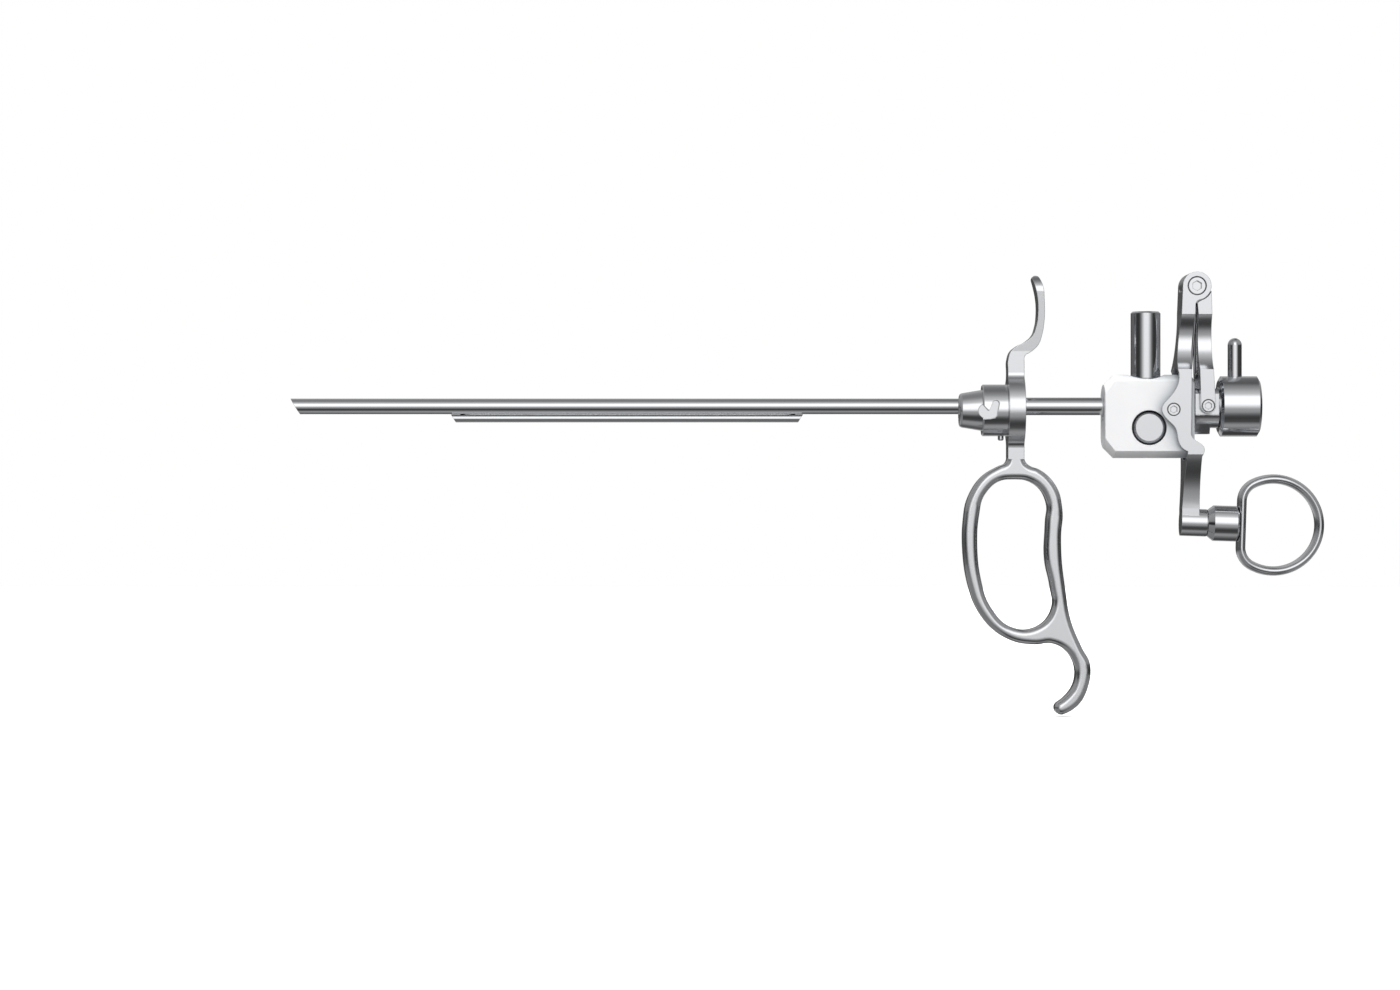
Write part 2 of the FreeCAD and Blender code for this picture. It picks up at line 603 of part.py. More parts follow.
def make_carriage_block():
    front = size("block_front")
    end = front + size("block_length")
    turned = new_body("block_turned", ("Sizes.block_front", "0", "-Sizes.block_drop"))
    revolve(turned, (
        ("0", "0"),
        ("0", "Sizes.block_od / 2 - Sizes.block_chamfer"),
        ("Sizes.block_chamfer", "Sizes.block_od / 2"),
        ("Sizes.block_length - Sizes.block_edge", "Sizes.block_od / 2"),
        ("Sizes.block_length", "Sizes.block_od / 2 - Sizes.block_edge"),
        ("Sizes.block_length", "0")))
    flats = stock("Box", "block_flats", {
        "Length": "Sizes.block_length + 2", "Width": "Sizes.block_wide",
        "Height": "Sizes.block_od + 2"},
        ("Sizes.block_front - 1", "-Sizes.block_wide / 2",
         "-Sizes.block_drop - Sizes.block_od / 2 - 1"))
    blank = doc.addObject("Part::Common", "block_blank")
    blank.Base = turned
    blank.Tool = flats
    half = size("block_wide") / 2
    channel = -size("channel_drop")
    socket = size("socket_back")
    button = size("button_back")
    level = -size("button_drop")
    clear = size("running_gap")
    head_floor = -half - size("button_proud") + size("button_thick") + size("button_travel")
    strip = size("bridge_back")
    strip_end = strip + size("bridge_wide")
    seat = size("socket_seat")
    bend = size("bridge_out") / 2 + clear
    ring_pocket = rod((strip - clear, 0, 0), (strip_end + clear, 0, 0), bend).common(
        box_between((strip - 1, -size("contact_od") / 2 - clear, -bend), (strip_end + 1, bend, bend)))
    tools = [
        rod((front - 1, 0, 0), (end + 1, 0, 0), size("rear_tube_od") / 2 + clear),
        rod((front - 1, 0, channel), (button, 0, channel), size("channel_bore") / 2),
        rod((socket, 0, seat), (socket, 0, size("socket_top")), size("socket_foot_od") / 2),
        rod((socket, 0, size("spot_face_level")), (socket, 0, size("socket_top")),
            size("spot_face_od") / 2),
        ring_pocket,
        box_between((strip - clear, -size("contact_od") / 2 - clear, size("bridge_in") / 2),
                    (socket + size("contact_od") / 2 + clear, size("contact_od") / 2 + clear,
                     seat)),
        rod((button, -half - 1, level), (button, head_floor, level), size("button_hole_od") / 2),
        rod((button, head_floor - 1, level), (button, half + 1, level),
            size("button_stem_od") / 2 + clear),
        rod((button, half - size("cap_thick") - clear, level), (button, half + 1, level),
            size("cap_od") / 2),
        rod((button, button_groove_middle(), level - size("button_stem_od") / 2 + 0.7),
            (button, button_groove_middle(), -size("block_od")), size("keeper_od") / 2)]
    pivot_x = size("lever_back")
    pivot_z = -size("lever_drop")
    for side in (-1, 1):
        tools.append(rod((pivot_x, side * (half - size("pivot_bite")), pivot_z),
                         (pivot_x, side * (half + 1), pivot_z), size("pivot_shaft_od") / 2 - 0.3))
    holes = doc.addObject("Part::Feature", "block_holes")
    holes.Shape = tools[0].fuse(tools[1:])
    keep(cut("carriage_block", blank, [holes]))


def button_groove_middle():
    """Where the keeper pin stands, measured across from the mid-plane."""
    return -size("block_wide") / 2 - size("button_proud") + size("button_thick") + 4.6


def make_hf_socket_sleeve():
    body = new_body("hf_socket_sleeve", ("Sizes.socket_back", "0", "Sizes.socket_seat"))
    tall = "Sizes.socket_top - Sizes.socket_seat"
    shoulder = "Sizes.spot_face_level + Sizes.socket_relief - Sizes.socket_seat"
    revolve(body, (
        ("Sizes.socket_bore / 2", "0"),
        ("Sizes.socket_foot_od / 2 - Sizes.braze_gap", "0"),
        ("Sizes.socket_foot_od / 2 - Sizes.braze_gap", shoulder),
        ("Sizes.socket_od / 2", shoulder),
        ("Sizes.socket_od / 2", tall + " - Sizes.socket_edge"),
        ("Sizes.socket_od / 2 - Sizes.socket_edge", tall),
        ("Sizes.socket_bore / 2", tall)), axis="V_Axis")
    keep(body)


def make_hf_insulator():
    body = new_body("hf_insulator", ("Sizes.socket_back", "0", "Sizes.socket_seat"))
    tall = "Sizes.socket_top - Sizes.socket_seat - Sizes.socket_well"
    outside = "Sizes.socket_bore / 2 - Sizes.braze_gap"
    revolve(body, (
        ("Sizes.contact_od / 2 + Sizes.braze_gap", "0"),
        (outside, "0"),
        (outside, tall + " - 0.3"),
        (outside + " - 0.3", tall),
        ("Sizes.contact_od / 2 + Sizes.braze_gap", tall)), axis="V_Axis")
    keep(body)


def make_hf_contact_pin():
    body = new_body("hf_contact_pin", ("Sizes.socket_back", "0", "Sizes.bridge_out / 2"))
    tall = "Sizes.socket_top - Sizes.contact_low - Sizes.bridge_out / 2"
    revolve(body, (
        ("0", "0"),
        ("Sizes.contact_od / 2", "0"),
        ("Sizes.contact_od / 2", tall + " - 0.5"),
        ("Sizes.contact_od / 2 - 0.5", tall),
        ("0", tall)), axis="V_Axis")
    keep(body)


def make_contact_strip():
    """A half ring round the tube, with a foot under the centre contact."""
    inside = size("bridge_in") / 2
    outside = size("bridge_out") / 2
    low = size("bridge_back")
    wide = size("bridge_wide")
    ring = rod((low, 0, 0), (low + wide, 0, 0), outside).cut(
        rod((low - 1, 0, 0), (low + wide + 1, 0, 0), inside))
    reach = outside + 1
    stop = math.radians(-68)
    wedge = front_prism(((0, 0), (0, reach), (reach, reach), (reach, -reach),
                         (reach * math.cos(stop), reach * math.sin(stop))), low - 1, low + wide + 1)
    half = size("contact_od") / 2
    foot = box_between((low, -half, inside + 0.05),
                       (size("socket_back") + half, half, outside))
    formed("contact_strip", ring.common(wedge).fuse(foot).removeSplitter())


def make_lock_button():
    """Button head, stem with the electrode hole, and a groove for the keeper pin."""
    radius = size("button_od") / 2
    stem = size("button_stem_od") / 2
    face = -size("block_wide") / 2 - size("button_proud")
    bevel = size("button_edge")
    neck = face + size("button_thick")
    end = size("button_stem_end")
    x = size("button_back")
    z = -size("button_drop")
    head = Part.makeCone(radius - bevel, radius, bevel, V(x, face, z), Y_AXIS)
    head = head.fuse([rod((x, face + bevel, z), (x, neck, z), radius), rod((x, neck, z), (x, end, z), stem)])
    channel = -size("channel_drop")
    catch = size("catch_bore") / 2
    open_y = -size("button_travel")
    hole = rod((x - radius, open_y, channel), (x + radius, open_y, channel), catch)
    narrow = box_between((x - radius, open_y, channel - catch * 0.6),
                         (x + radius, 0.6, channel + 1.5))
    middle = button_groove_middle()
    half = size("keeper_od") / 2
    travel = size("button_travel")
    groove = box_between((x - radius, middle - half - travel - 0.1, z - stem - 1),
                         (x + radius, middle + half + 0.1, z - stem + 1.0))
    formed("lock_button", head.cut([hole, narrow, groove]).removeSplitter())


def coil(radius, wire, pitch, turns):
    """A wire of eight sides wound about the Z axis."""
    helix = Part.makeHelix(pitch, pitch * turns, radius)
    corners = [V(radius + wire / 2 * math.cos(step * math.pi / 4), 0,
                 wire / 2 * math.sin(step * math.pi / 4)) for step in range(9)]
    return Part.Wire(helix.Edges).makePipeShell([Part.makePolygon(corners)], True, True)


def make_lock_spring():
    wire = size("spring_wire")
    low = size("button_stem_end")
    high = size("block_wide") / 2 - size("cap_thick") - size("running_gap")
    room = high - low - wire
    turns = size("spring_turns")
    shape = coil((size("spring_od") - wire) / 2, wire, room / turns, turns)
    turn = FreeCAD.Rotation(Z_AXIS, Y_AXIS)
    place = FreeCAD.Placement(
        V(size("button_back"), low + wire / 2, -size("button_drop")), turn)
    formed("lock_spring", shape, place)


def make_lock_cap():
    """Slotted cap in the far side, behind the lock spring."""
    body = new_body("lock_cap_turned", (
        "Sizes.button_back", "Sizes.block_wide / 2 - Sizes.cap_thick", "-Sizes.button_drop"))
    revolve(body, (
        ("0", "0"),
        ("Sizes.cap_od / 2 - Sizes.braze_gap", "0"),
        ("Sizes.cap_od / 2 - Sizes.braze_gap", "Sizes.cap_thick - 0.2"),
        ("Sizes.cap_od / 2 - 0.2", "Sizes.cap_thick"),
        ("0", "Sizes.cap_thick")), role="XY_Plane", axis="V_Axis")
    slot = stock("Box", "lock_cap_slot", {
        "Length": "Sizes.cap_od * 0.7", "Width": "1", "Height": "1"},
        ("Sizes.button_back - Sizes.cap_od * 0.35", "Sizes.block_wide / 2 - 0.6",
         "-Sizes.button_drop - 0.5"))
    keep(cut("lock_cap", body, [slot]))


def make_keeper_pin():
    radius = size("keeper_od") / 2 - size("braze_gap")
    y = button_groove_middle()
    x = size("button_back")
    top = -size("button_drop") - size("button_stem_od") / 2 + 0.6
    under = -size("block_drop") - math.sqrt((size("block_od") / 2) ** 2 - (abs(y) + radius) ** 2)
    formed("keeper_pin", rod((x, y, under), (x, y, top), radius))


# Lever and link: side outlines crossed with front outlines

def side_solid(edges, half_wide):
    """A side outline of edges in the X-Z plane, pushed out to both sides."""
    face = Part.Face(Part.Wire(Part.__sortEdges__(edges)))
    face.translate(V(0, -half_wide, 0))
    return face.extrude(V(0, 2 * half_wide, 0))


def line(a, b):
    return Part.makeLine(V(a[0], 0, a[1]), V(b[0], 0, b[1]))


def arc(a, middle, b):
    return Part.Arc(V(a[0], 0, a[1]), V(middle[0], 0, middle[1]), V(b[0], 0, b[1])).toShape()


def curve(points):
    spline = Part.BSplineCurve()
    spline.interpolate([V(x, 0, z) for x, z in points])
    return spline.toShape()


def scoop_between(upper, lower, waist, high, low):
    """A round waist drawn in from the head's width and out again to the fork's."""
    tools = []
    start = size("lever_back") - 20
    for side in (-1, 1):
        high_point = V(start, side * upper, high)
        low_point = V(start, side * lower, low)
        dip = V(start, side * waist, (high + low) / 2)
        far_high = V(start, side * (lower + 3), high)
        far_low = V(start, side * (lower + 3), low)
        wire = Part.Wire([Part.Arc(high_point, dip, low_point).toShape(),
                          Part.makeLine(low_point, far_low), Part.makeLine(far_low, far_high),
                          Part.makeLine(far_high, high_point)])
        tools.append(Part.Face(wire).extrude(V(40, 0, 0)))
    return tools


def ear_edge(gap=0.0):
    """An ear's rear edge from the round head down, moved back by a gap: a bend and its foot."""
    tx = size("top_back") + gap
    tz = size("top_rise")
    head = size("head_od") / 2 + gap
    return [(tx - gap + head * 0.26, tz - head * 0.966), (tx - 0.1, tz - head - 0.5),
            (tx - 0.45, tz - head - 1.35), (tx - 0.5, size("scoop_high"))]


def make_thumb_lever():
    ax = size("lever_back")
    az = -size("lever_drop")
    tx = size("top_back")
    tz = size("top_rise")
    head = size("head_od") / 2
    high = size("scoop_high")
    low = size("scoop_low")
    half = size("lever_wide") / 2
    foot_x = size("boss_front")
    foot_z = -size("boss_drop")
    boss = size("boss_od") / 2
    stem_top = -size("block_drop") - size("block_od") / 2
    # Left edge from the head down, round the pivot's bulge, then down the stem
    left = [(tx - head, tz), (ax + 2.7, high), (ax + 1.2, low)]
    bulge = [left[-1], (ax + 1.2, low - 4.6), (ax - 1.2, az + 3.6), (ax - 3.55, az + 0.2),
             (ax - 2.2, az - 2.7), (ax + 0.5, az - 5.6), (ax + 1.4, az - 9.4),
             (ax + 4.2, stem_top + 1.9)]
    foot = (foot_x + 0.1, foot_z + boss)
    shoulder = ear_edge()
    right = [shoulder[-1], (ax + 5.4, low), (ax + 5.2, az - 6.4)]
    heel = [right[-1], (ax + 6.0, az - 8.8), (ax + 8.3, az - 10.4), (ax + 8.5, stem_top + 0.4)]
    stem_back = (foot_x + 5.3, foot_z + boss)
    # The near ear's edge leaves the round head in an S and meets the right edge
    ear = arc((tx - head, tz), (tx, tz + head), (tx + head, tz))
    edges = [
        ear,
        arc((tx + head, tz), (tx + head * 0.793, tz - head * 0.609), shoulder[0]),
        arc(shoulder[0], shoulder[1], shoulder[2]), line(shoulder[2], shoulder[3]),
        line(right[0], right[1]), line(right[1], right[2]),
        curve(heel),
        line(heel[-1], stem_back), line(stem_back, foot), line(foot, bulge[-1]),
        curve(bulge),
        line(left[2], left[1]), line(left[1], left[0])]
    blank = side_solid(edges, half)
    # Front outline: narrow head, scooped waist, wide fork, stem drawn in under the block
    reach = half + 1
    head_half = size("head_wide") / 2
    tools = []
    for side in (-1, 1):
        tools.append(front_prism(((side * head_half, high), (side * reach, high),
                                  (side * reach, tz + head + 1), (side * head_half, tz + head + 1)),
                                 ax - 20, ax + 20))
    waist = size("waist_wide") / 2
    tools += scoop_between(head_half, half, waist, high, low)
    stem = size("stem_wide") / 2
    neck_high = stem_top + 1.0
    neck_low = foot_z + boss
    spread = half - stem
    round_r = (spread ** 2 + (neck_high - neck_low) ** 2) / (2 * spread)
    lean = math.asin((neck_high - neck_low) / round_r) / 2
    for side in (-1, 1):
        top = V(ax - 20, side * half, neck_high)
        foot_point = V(ax - 20, side * stem, neck_low)
        bend = V(ax - 20, side * (stem + round_r * (1 - math.cos(lean))),
                 neck_low + round_r * math.sin(lean))
        far_low = V(ax - 20, side * reach, neck_low)
        far_high = V(ax - 20, side * reach, neck_high)
        wire = Part.Wire([Part.Arc(top, bend, foot_point).toShape(),
                          Part.makeLine(foot_point, far_low), Part.makeLine(far_low, far_high),
                          Part.makeLine(far_high, top)])
        tools.append(Part.Face(wire).extrude(V(40, 0, 0)))
    # Room for the block between the fork's plates, round at the foot like the block
    inside = size("block_wide") / 2 + size("side_gap")
    middle = -size("block_drop")
    for room, below, above in ((size("arch_od"), middle, high), (size("cradle_od"), -high * 2, middle)):
        hollow = Part.makeCylinder(room / 2, 40, V(ax - 20, 0, middle), X_AXIS)
        tools.append(hollow.common(box_between((ax - 20, -inside, below), (ax + 20, inside, above))))
    # Slot between the ears for the link's tongue
    slot = size("tongue_wide") / 2 + size("side_gap")
    turn_room = Part.makeCylinder(head + size("free_gap"), 2 * slot, V(tx, -slot, tz), Y_AXIS)
    side_room = box_between((tx - size("free_gap") * 1.5, -slot, high - 1.0), (tx + 10, slot, tz + head + 1))
    tools += [turn_room, side_room]
    # Pivot holes
    shaft = size("pivot_shaft_od") / 2 + size("running_gap")
    recess = size("pivot_head_od") / 2 + size("running_gap")
    tools.append(rod((ax, -reach, az), (ax, reach, az), shaft))
    for side in (-1, 1):
        tools.append(rod((ax, side * (half - size("pivot_head_thick")), az),
                         (ax, side * reach, az), recess))
    tools.append(rod((tx, -reach, tz), (tx, reach, tz), size("top_screw_od") / 2 + 0.02))
    tools.append(rod((tx, -head_half + size("top_screw_head_thick"), tz), (tx, -reach, tz),
                     size("top_screw_head_od") / 2 + 0.02))
    solid = blank.cut(tools)
    # Boss at the foot, sloped like the ring's post
    tilt = math.radians(size("ring_tilt"))
    heading = V(math.cos(tilt), 0, -math.sin(tilt))
    base = V(foot_x, 0, foot_z)
    barrel = Part.makeCylinder(boss, size("boss_length"), base, heading)
    saddle = box_between((foot_x + 0.1, -stem, foot_z), (foot_x + 5.3, stem, foot_z + boss + 0.2))
    tapped = Part.makeCylinder(size("post_od") / 2 - 0.3, 6, base + heading * 3, heading)
    solid = solid.fuse([barrel, saddle]).cut(tapped).removeSplitter()
    formed("thumb_lever", solid)


def make_rear_link():
    cx = size("link_back")
    tx = size("top_back")
    tz = size("top_rise")
    head = size("head_od") / 2
    high = size("scoop_high")
    low = size("scoop_low")
    half = size("link_wide") / 2
    end = size("link_end_od") / 2
    tongue = size("tongue_wide") / 2
    room = ear_edge(size("free_gap") + 0.05)
    bar = size("link_thick")
    left = [(tx + 0.4, high), (cx - 2.5, low), (cx - end, 0)]
    right = [(left[0][0] + bar, high), (left[1][0] + bar, low), (cx + end, 0)]
    shoulder = (tx + head, tz)
    edges = [
        arc((tx - head, tz), (tx, tz + head), shoulder),
        line(shoulder, right[0]), line(right[0], right[1]), line(right[1], right[2]),
        arc(right[2], (cx, -end), left[2]),
        line(left[2], left[1]), line(left[1], left[0]),
        line(left[0], (tx, tz - head)),
        arc((tx, tz - head), (tx - head * math.sqrt(0.5), tz - head * math.sqrt(0.5)),
            (tx - head, tz))]
    blank = side_solid(edges, half)
    reach = half + 1
    head_half = size("head_wide") / 2
    tools = []
    for side in (-1, 1):
        tools.append(front_prism(((side * head_half, high), (side * reach, high),
                                  (side * reach, tz + head + 1), (side * head_half, tz + head + 1)),
                                 cx - 20, cx + 20))
        # Only the tongue passes between the lever's ears
        tools.append(Part.makeCylinder(head + size("free_gap"), reach - tongue,
                                       V(tx, side * tongue, tz), Y_AXIS * side))
        bounds = [(tx - head - 1, tz - head), (tx - head - 1, tz), (tx, tz)]
        ear = Part.Face(Part.Wire([
            arc(room[0], room[1], room[2]), line(room[2], room[3]),
            line(room[3], (bounds[0][0], room[-1][1])),
            line((bounds[0][0], room[-1][1]), bounds[1]), line(bounds[1], bounds[2]),
            line(bounds[2], room[0])]))
        ear.translate(V(0, side * tongue, 0))
        tools.append(ear.extrude(V(0, side * (reach - tongue), 0)))
    tools += scoop_between(head_half, half, size("waist_wide") / 2, high, low)
    inside = size("rear_flat_wide") / 2 + size("side_gap")
    arch = Part.makeCylinder(size("link_arch_od") / 2, 40, V(cx - 20, 0, 0), X_AXIS)
    tools.append(arch.common(box_between((cx - 20, -inside, -end - 1), (cx + 20, inside, low))))
    # Room for the return spring's coil and legs
    wire = size("return_wire")
    coil_room = (size("return_coil") + wire) / 2 + 0.25
    tools.append(Part.makeCylinder(coil_room, 3.6, V(tx, -1.8, tz), Y_AXIS))
    tools.append(box_between((tx - 1.6, -1.8, low), (tx + 0.9, 1.8, tz - 1)))
    shaft = size("pivot_shaft_od") / 2 + size("running_gap")
    recess = size("pivot_head_od") / 2 + size("running_gap")
    tools.append(rod((cx, -reach, 0), (cx, reach, 0), shaft))
    for side in (-1, 1):
        tools.append(rod((cx, side * (half - size("pivot_head_thick")), 0), (cx, side * reach, 0),
                         recess))
    tools.append(rod((tx, -reach, tz), (tx, reach, tz),
                     size("top_screw_od") / 2 + size("open_pivot_gap")))
    formed("rear_link", blank.cut(tools).removeSplitter())


def hex_socket(centre, heading, across, depth):
    """A hexagonal well, its mouth at the centre, cut the way it is headed."""
    side = Z_AXIS
    corners = []
    for index in range(7):
        turn = FreeCAD.Rotation(heading, index * 60)
        corners.append(centre + turn.multVec(side) * (across / math.sqrt(3)))
    return Part.Face(Part.makePolygon(corners)).extrude(heading * depth)


def pivot_screws(label, x, z, face, seat):
    """A pair of shoulder screws, one from each side, flush in the outer face."""
    head = size("pivot_head_od") / 2
    thick = size("pivot_head_thick")
    shaft = size("pivot_shaft_od") / 2
    bite = size("pivot_bite")
    screws = []
    for side in (-1, 1):
        inward = V(0, -side, 0)
        outer = V(x, side * face, z)
        bevel = 0.25
        rim = Part.makeCone(head - bevel, head, bevel, outer, inward)
        body = Part.makeCylinder(head, thick - bevel - size("running_gap"), outer + inward * bevel,
                                 inward)
        shoulder = Part.makeCylinder(shaft, face - seat, outer, inward)
        thread = Part.makeCylinder(shaft - 0.32, face - seat + bite - 0.1, outer, inward)
        well = hex_socket(outer, inward, size("hex_across"), thick * 0.8)
        screws.append(rim.fuse([body, shoulder, thread]).cut(well).removeSplitter())
    formed(label, Part.makeCompound(screws))


def make_top_pivot_screw():
    x = size("top_back")
    z = size("top_rise")
    face = size("head_wide") / 2
    head = size("top_screw_head_od") / 2
    thick = size("top_screw_head_thick")
    outer = V(x, -face, z)
    rim = Part.makeCone(head - 0.35, head, 0.35, outer, Y_AXIS)
    body = Part.makeCylinder(head, thick - 0.35, outer + V(0, 0.35, 0), Y_AXIS)
    shaft = Part.makeCylinder(size("top_screw_od") / 2, 2 * face - 0.1, outer, Y_AXIS)
    well = hex_socket(outer, Y_AXIS, size("hex_across") * 1.35, thick * 0.8)
    formed("top_pivot_screw", rim.fuse([body, shaft]).cut(well).removeSplitter())


def make_return_spring():
    """Coil round the top screw, with a leg down each arm's inner edge."""
    wire = size("return_wire")
    radius = size("return_coil") / 2
    x = size("top_back")
    z = size("top_rise")
    wound = coil(radius, wire, wire * 1.12, 2.5)
    wound.Placement = FreeCAD.Placement(V(x, -wire * 1.4, z), FreeCAD.Rotation(Z_AXIS, Y_AXIS))
    parts = []
    foot = z - size("return_leg")
    high = size("scoop_high") - 1
    for side, drift in ((-1, -1.3), (1, 0.0)):
        y = side * wire * 0.9
        knee = (x, y, z - radius)
        waist = (x + 0.08, y, high)
        parts += [rod(knee, waist, wire / 2), rod(waist, (x + drift, y, foot), wire / 2)]
        parts += [Part.makeSphere(wire * 0.55, V(*knee)), Part.makeSphere(wire / 2, V(*waist))]
    formed("return_spring", wound.fuse(parts))


# Thumb ring on its swivel post

def post_frame():
    """Placement whose X axis is the post, starting at the boss's front face."""
    return FreeCAD.Placement(V(size("boss_front"), 0, -size("boss_drop")),
                             FreeCAD.Rotation(Y_AXIS, size("ring_tilt")))


def make_ring_post():
    """Post screwed into the boss: a neck inside the collar's cone, spindle and threaded end."""
    start = size("boss_length")
    neck = size("neck_length")
    spindle = size("post_od") / 2
    shoulder = Part.makeCylinder(size("neck_od") / 2, neck / 2, V(start + 0.02, 0, 0), X_AXIS)
    shaft = Part.makeCylinder(spindle, neck + size("collar_length") - 2.6, V(start + 0.1, 0, 0), X_AXIS)
    screw = Part.makeCylinder(spindle - 0.32, 4.4, V(start - 4.2, 0, 0), X_AXIS)
    formed("ring_post", shoulder.fuse([shaft, screw]).removeSplitter(), post_frame())


def make_ring_collar():
    begin = size("boss_length") + size("free_gap")
    start = size("boss_length") + size("neck_length")
    radius = size("collar_od") / 2
    length = size("collar_length")
    clear = size("running_gap")
    bevel = 0.5
    cone = Part.makeCone(size("boss_od") / 2 - 0.15, radius, start - begin, V(begin, 0, 0), X_AXIS)
    middle = Part.makeCylinder(radius, length - bevel, V(start, 0, 0), X_AXIS)
    back = Part.makeCone(radius, radius - bevel, bevel, V(start + length - bevel, 0, 0), X_AXIS)
    bore = Part.makeCylinder(size("post_od") / 2 + clear, length, V(begin, 0, 0), X_AXIS)
    neck = Part.makeCylinder(size("neck_od") / 2 + clear, size("neck_length") / 2 + 0.15,
                             V(size("boss_length"), 0, 0), X_AXIS)
    seat = Part.makeCylinder(size("post_od") / 2 + 1.2 + clear, 3.0, V(start + length - 2.9, 0, 0),
                             X_AXIS)
    turned = cone.fuse([middle, back])
    formed("ring_collar", turned.cut([bore, neck, seat, ring_shape()]).removeSplitter(), post_frame())


def make_swivel_nut():
    """Nut that holds the collar on the post, sunk in the collar's rear."""
    start = size("boss_length") + size("neck_length") + size("collar_length") - 2.9
    outside = size("post_od") / 2 + 1.1
    ring = Part.makeCylinder(outside, 1.9, V(start + 0.1, 0, 0), X_AXIS)
    cap = Part.makeCylinder(size("post_od") / 2 + size("braze_gap"), 0.4, V(start, 0, 0), X_AXIS)
    formed("swivel_nut", ring.cut(cap), post_frame())


def ring_section(point, outward):
    """Flat oval of four arcs, its thickness along a heading and its width across."""
    thick = size("ring_thick")
    wide = size("ring_wide")
    near = outward * (thick * 0.3)
    side = V(0, wide * 0.42, 0)
    edges = []
    for sign in (-1, 1):
        edges.append(Part.Arc(point + near * sign - side, point + outward * (thick / 2 * sign),
                              point + near * sign + side).toShape())
        edges.append(Part.Arc(point - near + side * sign, point + V(0, wide / 2 * sign, 0),
                              point + near + side * sign).toShape())
    return Part.Face(Part.Wire(Part.__sortEdges__(edges)))


def ring_shape():
    """A round ring with one flat side, turned and drawn from an oval section."""
    collar_end = size("boss_length") + size("neck_length") + size("collar_length")
    thick = size("ring_thick")
    flat = collar_end + thick / 2 - thick / 8
    radius = (size("ring_od") - thick) / 2
    centre = flat + (size("ring_deep") - thick) - radius
    corner = size("ring_corner")
    inner = radius - corner
    offset = flat + corner - centre
    rise = math.sqrt(inner * inner - offset * offset)
    angle = math.atan2(rise, offset)
    bend = 180 - math.degrees(angle)
    touch = V(math.cos(angle), 0, math.sin(angle))
    mirror = V(touch.x, 0, -touch.z)
    middle = V(centre, 0, 0)
    straight = ring_section(V(flat, 0, -rise), X_AXIS * -1).extrude(V(0, 0, 2 * rise))
    upper = ring_section(V(flat, 0, rise), X_AXIS * -1).revolve(V(flat + corner, 0, rise), Y_AXIS, bend)
    round_side = ring_section(middle + touch * radius, touch).revolve(
        middle, Y_AXIS, 2 * math.degrees(angle))
    lower = ring_section(middle + mirror * radius, mirror).revolve(
        V(flat + corner, 0, -rise), Y_AXIS, bend)
    return straight.fuse([upper, round_side, lower]).removeSplitter()


def make_thumb_ring():
    formed("thumb_ring", ring_shape(), post_frame())


# Rear bridge, telescope seal and lock ring

def make_rear_bridge():
    front = size("rear_front")
    back = front + size("rear_length")
    radius = size("rear_od") / 2
    flat = size("rear_flat_wide") / 2
    low = -size("rear_flat_low")
    top = size("rear_top")
    clear = size("braze_gap")
    body = rod((front, 0, 0), (back, 0, 0), radius)
    tools = []
    for side in (-1, 1):
        tools.append(box_between((front - 1, min(side * flat, side * 10), low),
                                 (back + 1, max(side * flat, side * 10), 10)))
    tools.append(box_between((front - 1, -10, top), (back + 1, 10, 10)))
    spigot = rod((back, 0, 0), (size("spigot_end"), 0, 0), size("spigot_od") / 2)
    # The tab's sides slope in towards its underside
    tab_wide = size("tab_wide") / 2
    root = radius * 0.75
    flare = (size("tab_low") - root) * 0.53
    tab = front_prism(((-tab_wide - flare, -root), (tab_wide + flare, -root),
                       (tab_wide, -size("tab_low")), (-tab_wide, -size("tab_low"))),
                      front, front + size("tab_length"))
    end = size("rear_tube_end")
    groove_x = size("spigot_end") - size("clip_thick") - 0.4
    bores = [
        rod((front - 1, 0, 0), (end, 0, 0), size("rear_tube_od") / 2 + clear),
        rod((end - 1, 0, 0), (size("spigot_end") + 1, 0, 0), size("tube_bore") / 2),
        rod((seal_front(), 0, 0), (size("spigot_end") + 1, 0, 0), size("seal_od") / 2),
        rod((seal_front() + size("seal_length"), 0, 0), (size("spigot_end") + 1, 0, 0),
            size("gland_od") / 2),
        rod((size("spigot_end") - size("seat_depth"), 0, 0), (size("spigot_end") + 1, 0, 0),
            size("seat_od") / 2)]
    clip_groove = rod((groove_x, 0, 0), (groove_x + size("clip_thick") + 0.04, 0, 0), 20).cut(
        rod((groove_x - 1, 0, 0), (groove_x + 3, 0, 0), size("spigot_od") / 2 - 0.5))
    bores.append(clip_groove)
    for side in (-1, 1):
        bores.append(rod((size("link_back"), side * (flat - size("pivot_bite")), 0),
                         (size("link_back"), side * 10, 0), size("pivot_shaft_od") / 2 - 0.3))
    solid = body.cut(tools).fuse([spigot, tab]).cut(bores)
    formed("rear_bridge", solid.removeSplitter())


def seal_front():
    """Front face of the telescope seal, just behind the tube's end."""
    return size("rear_tube_end") + 2.2


def make_telescope_seal():
    body = new_body("telescope_seal", ("Sizes.rear_tube_end + 2.2", "0", "0"))
    outside = "Sizes.seal_od / 2 - Sizes.braze_gap"
    inside = "Sizes.tube_bore / 2"
    revolve(body, (
        ("0", inside + " + 0.3"), ("0.3", inside), ("Sizes.seal_length - 0.3", inside),
        ("Sizes.seal_length", inside + " + 0.3"), ("Sizes.seal_length", outside), ("0", outside)))
    keep(body)


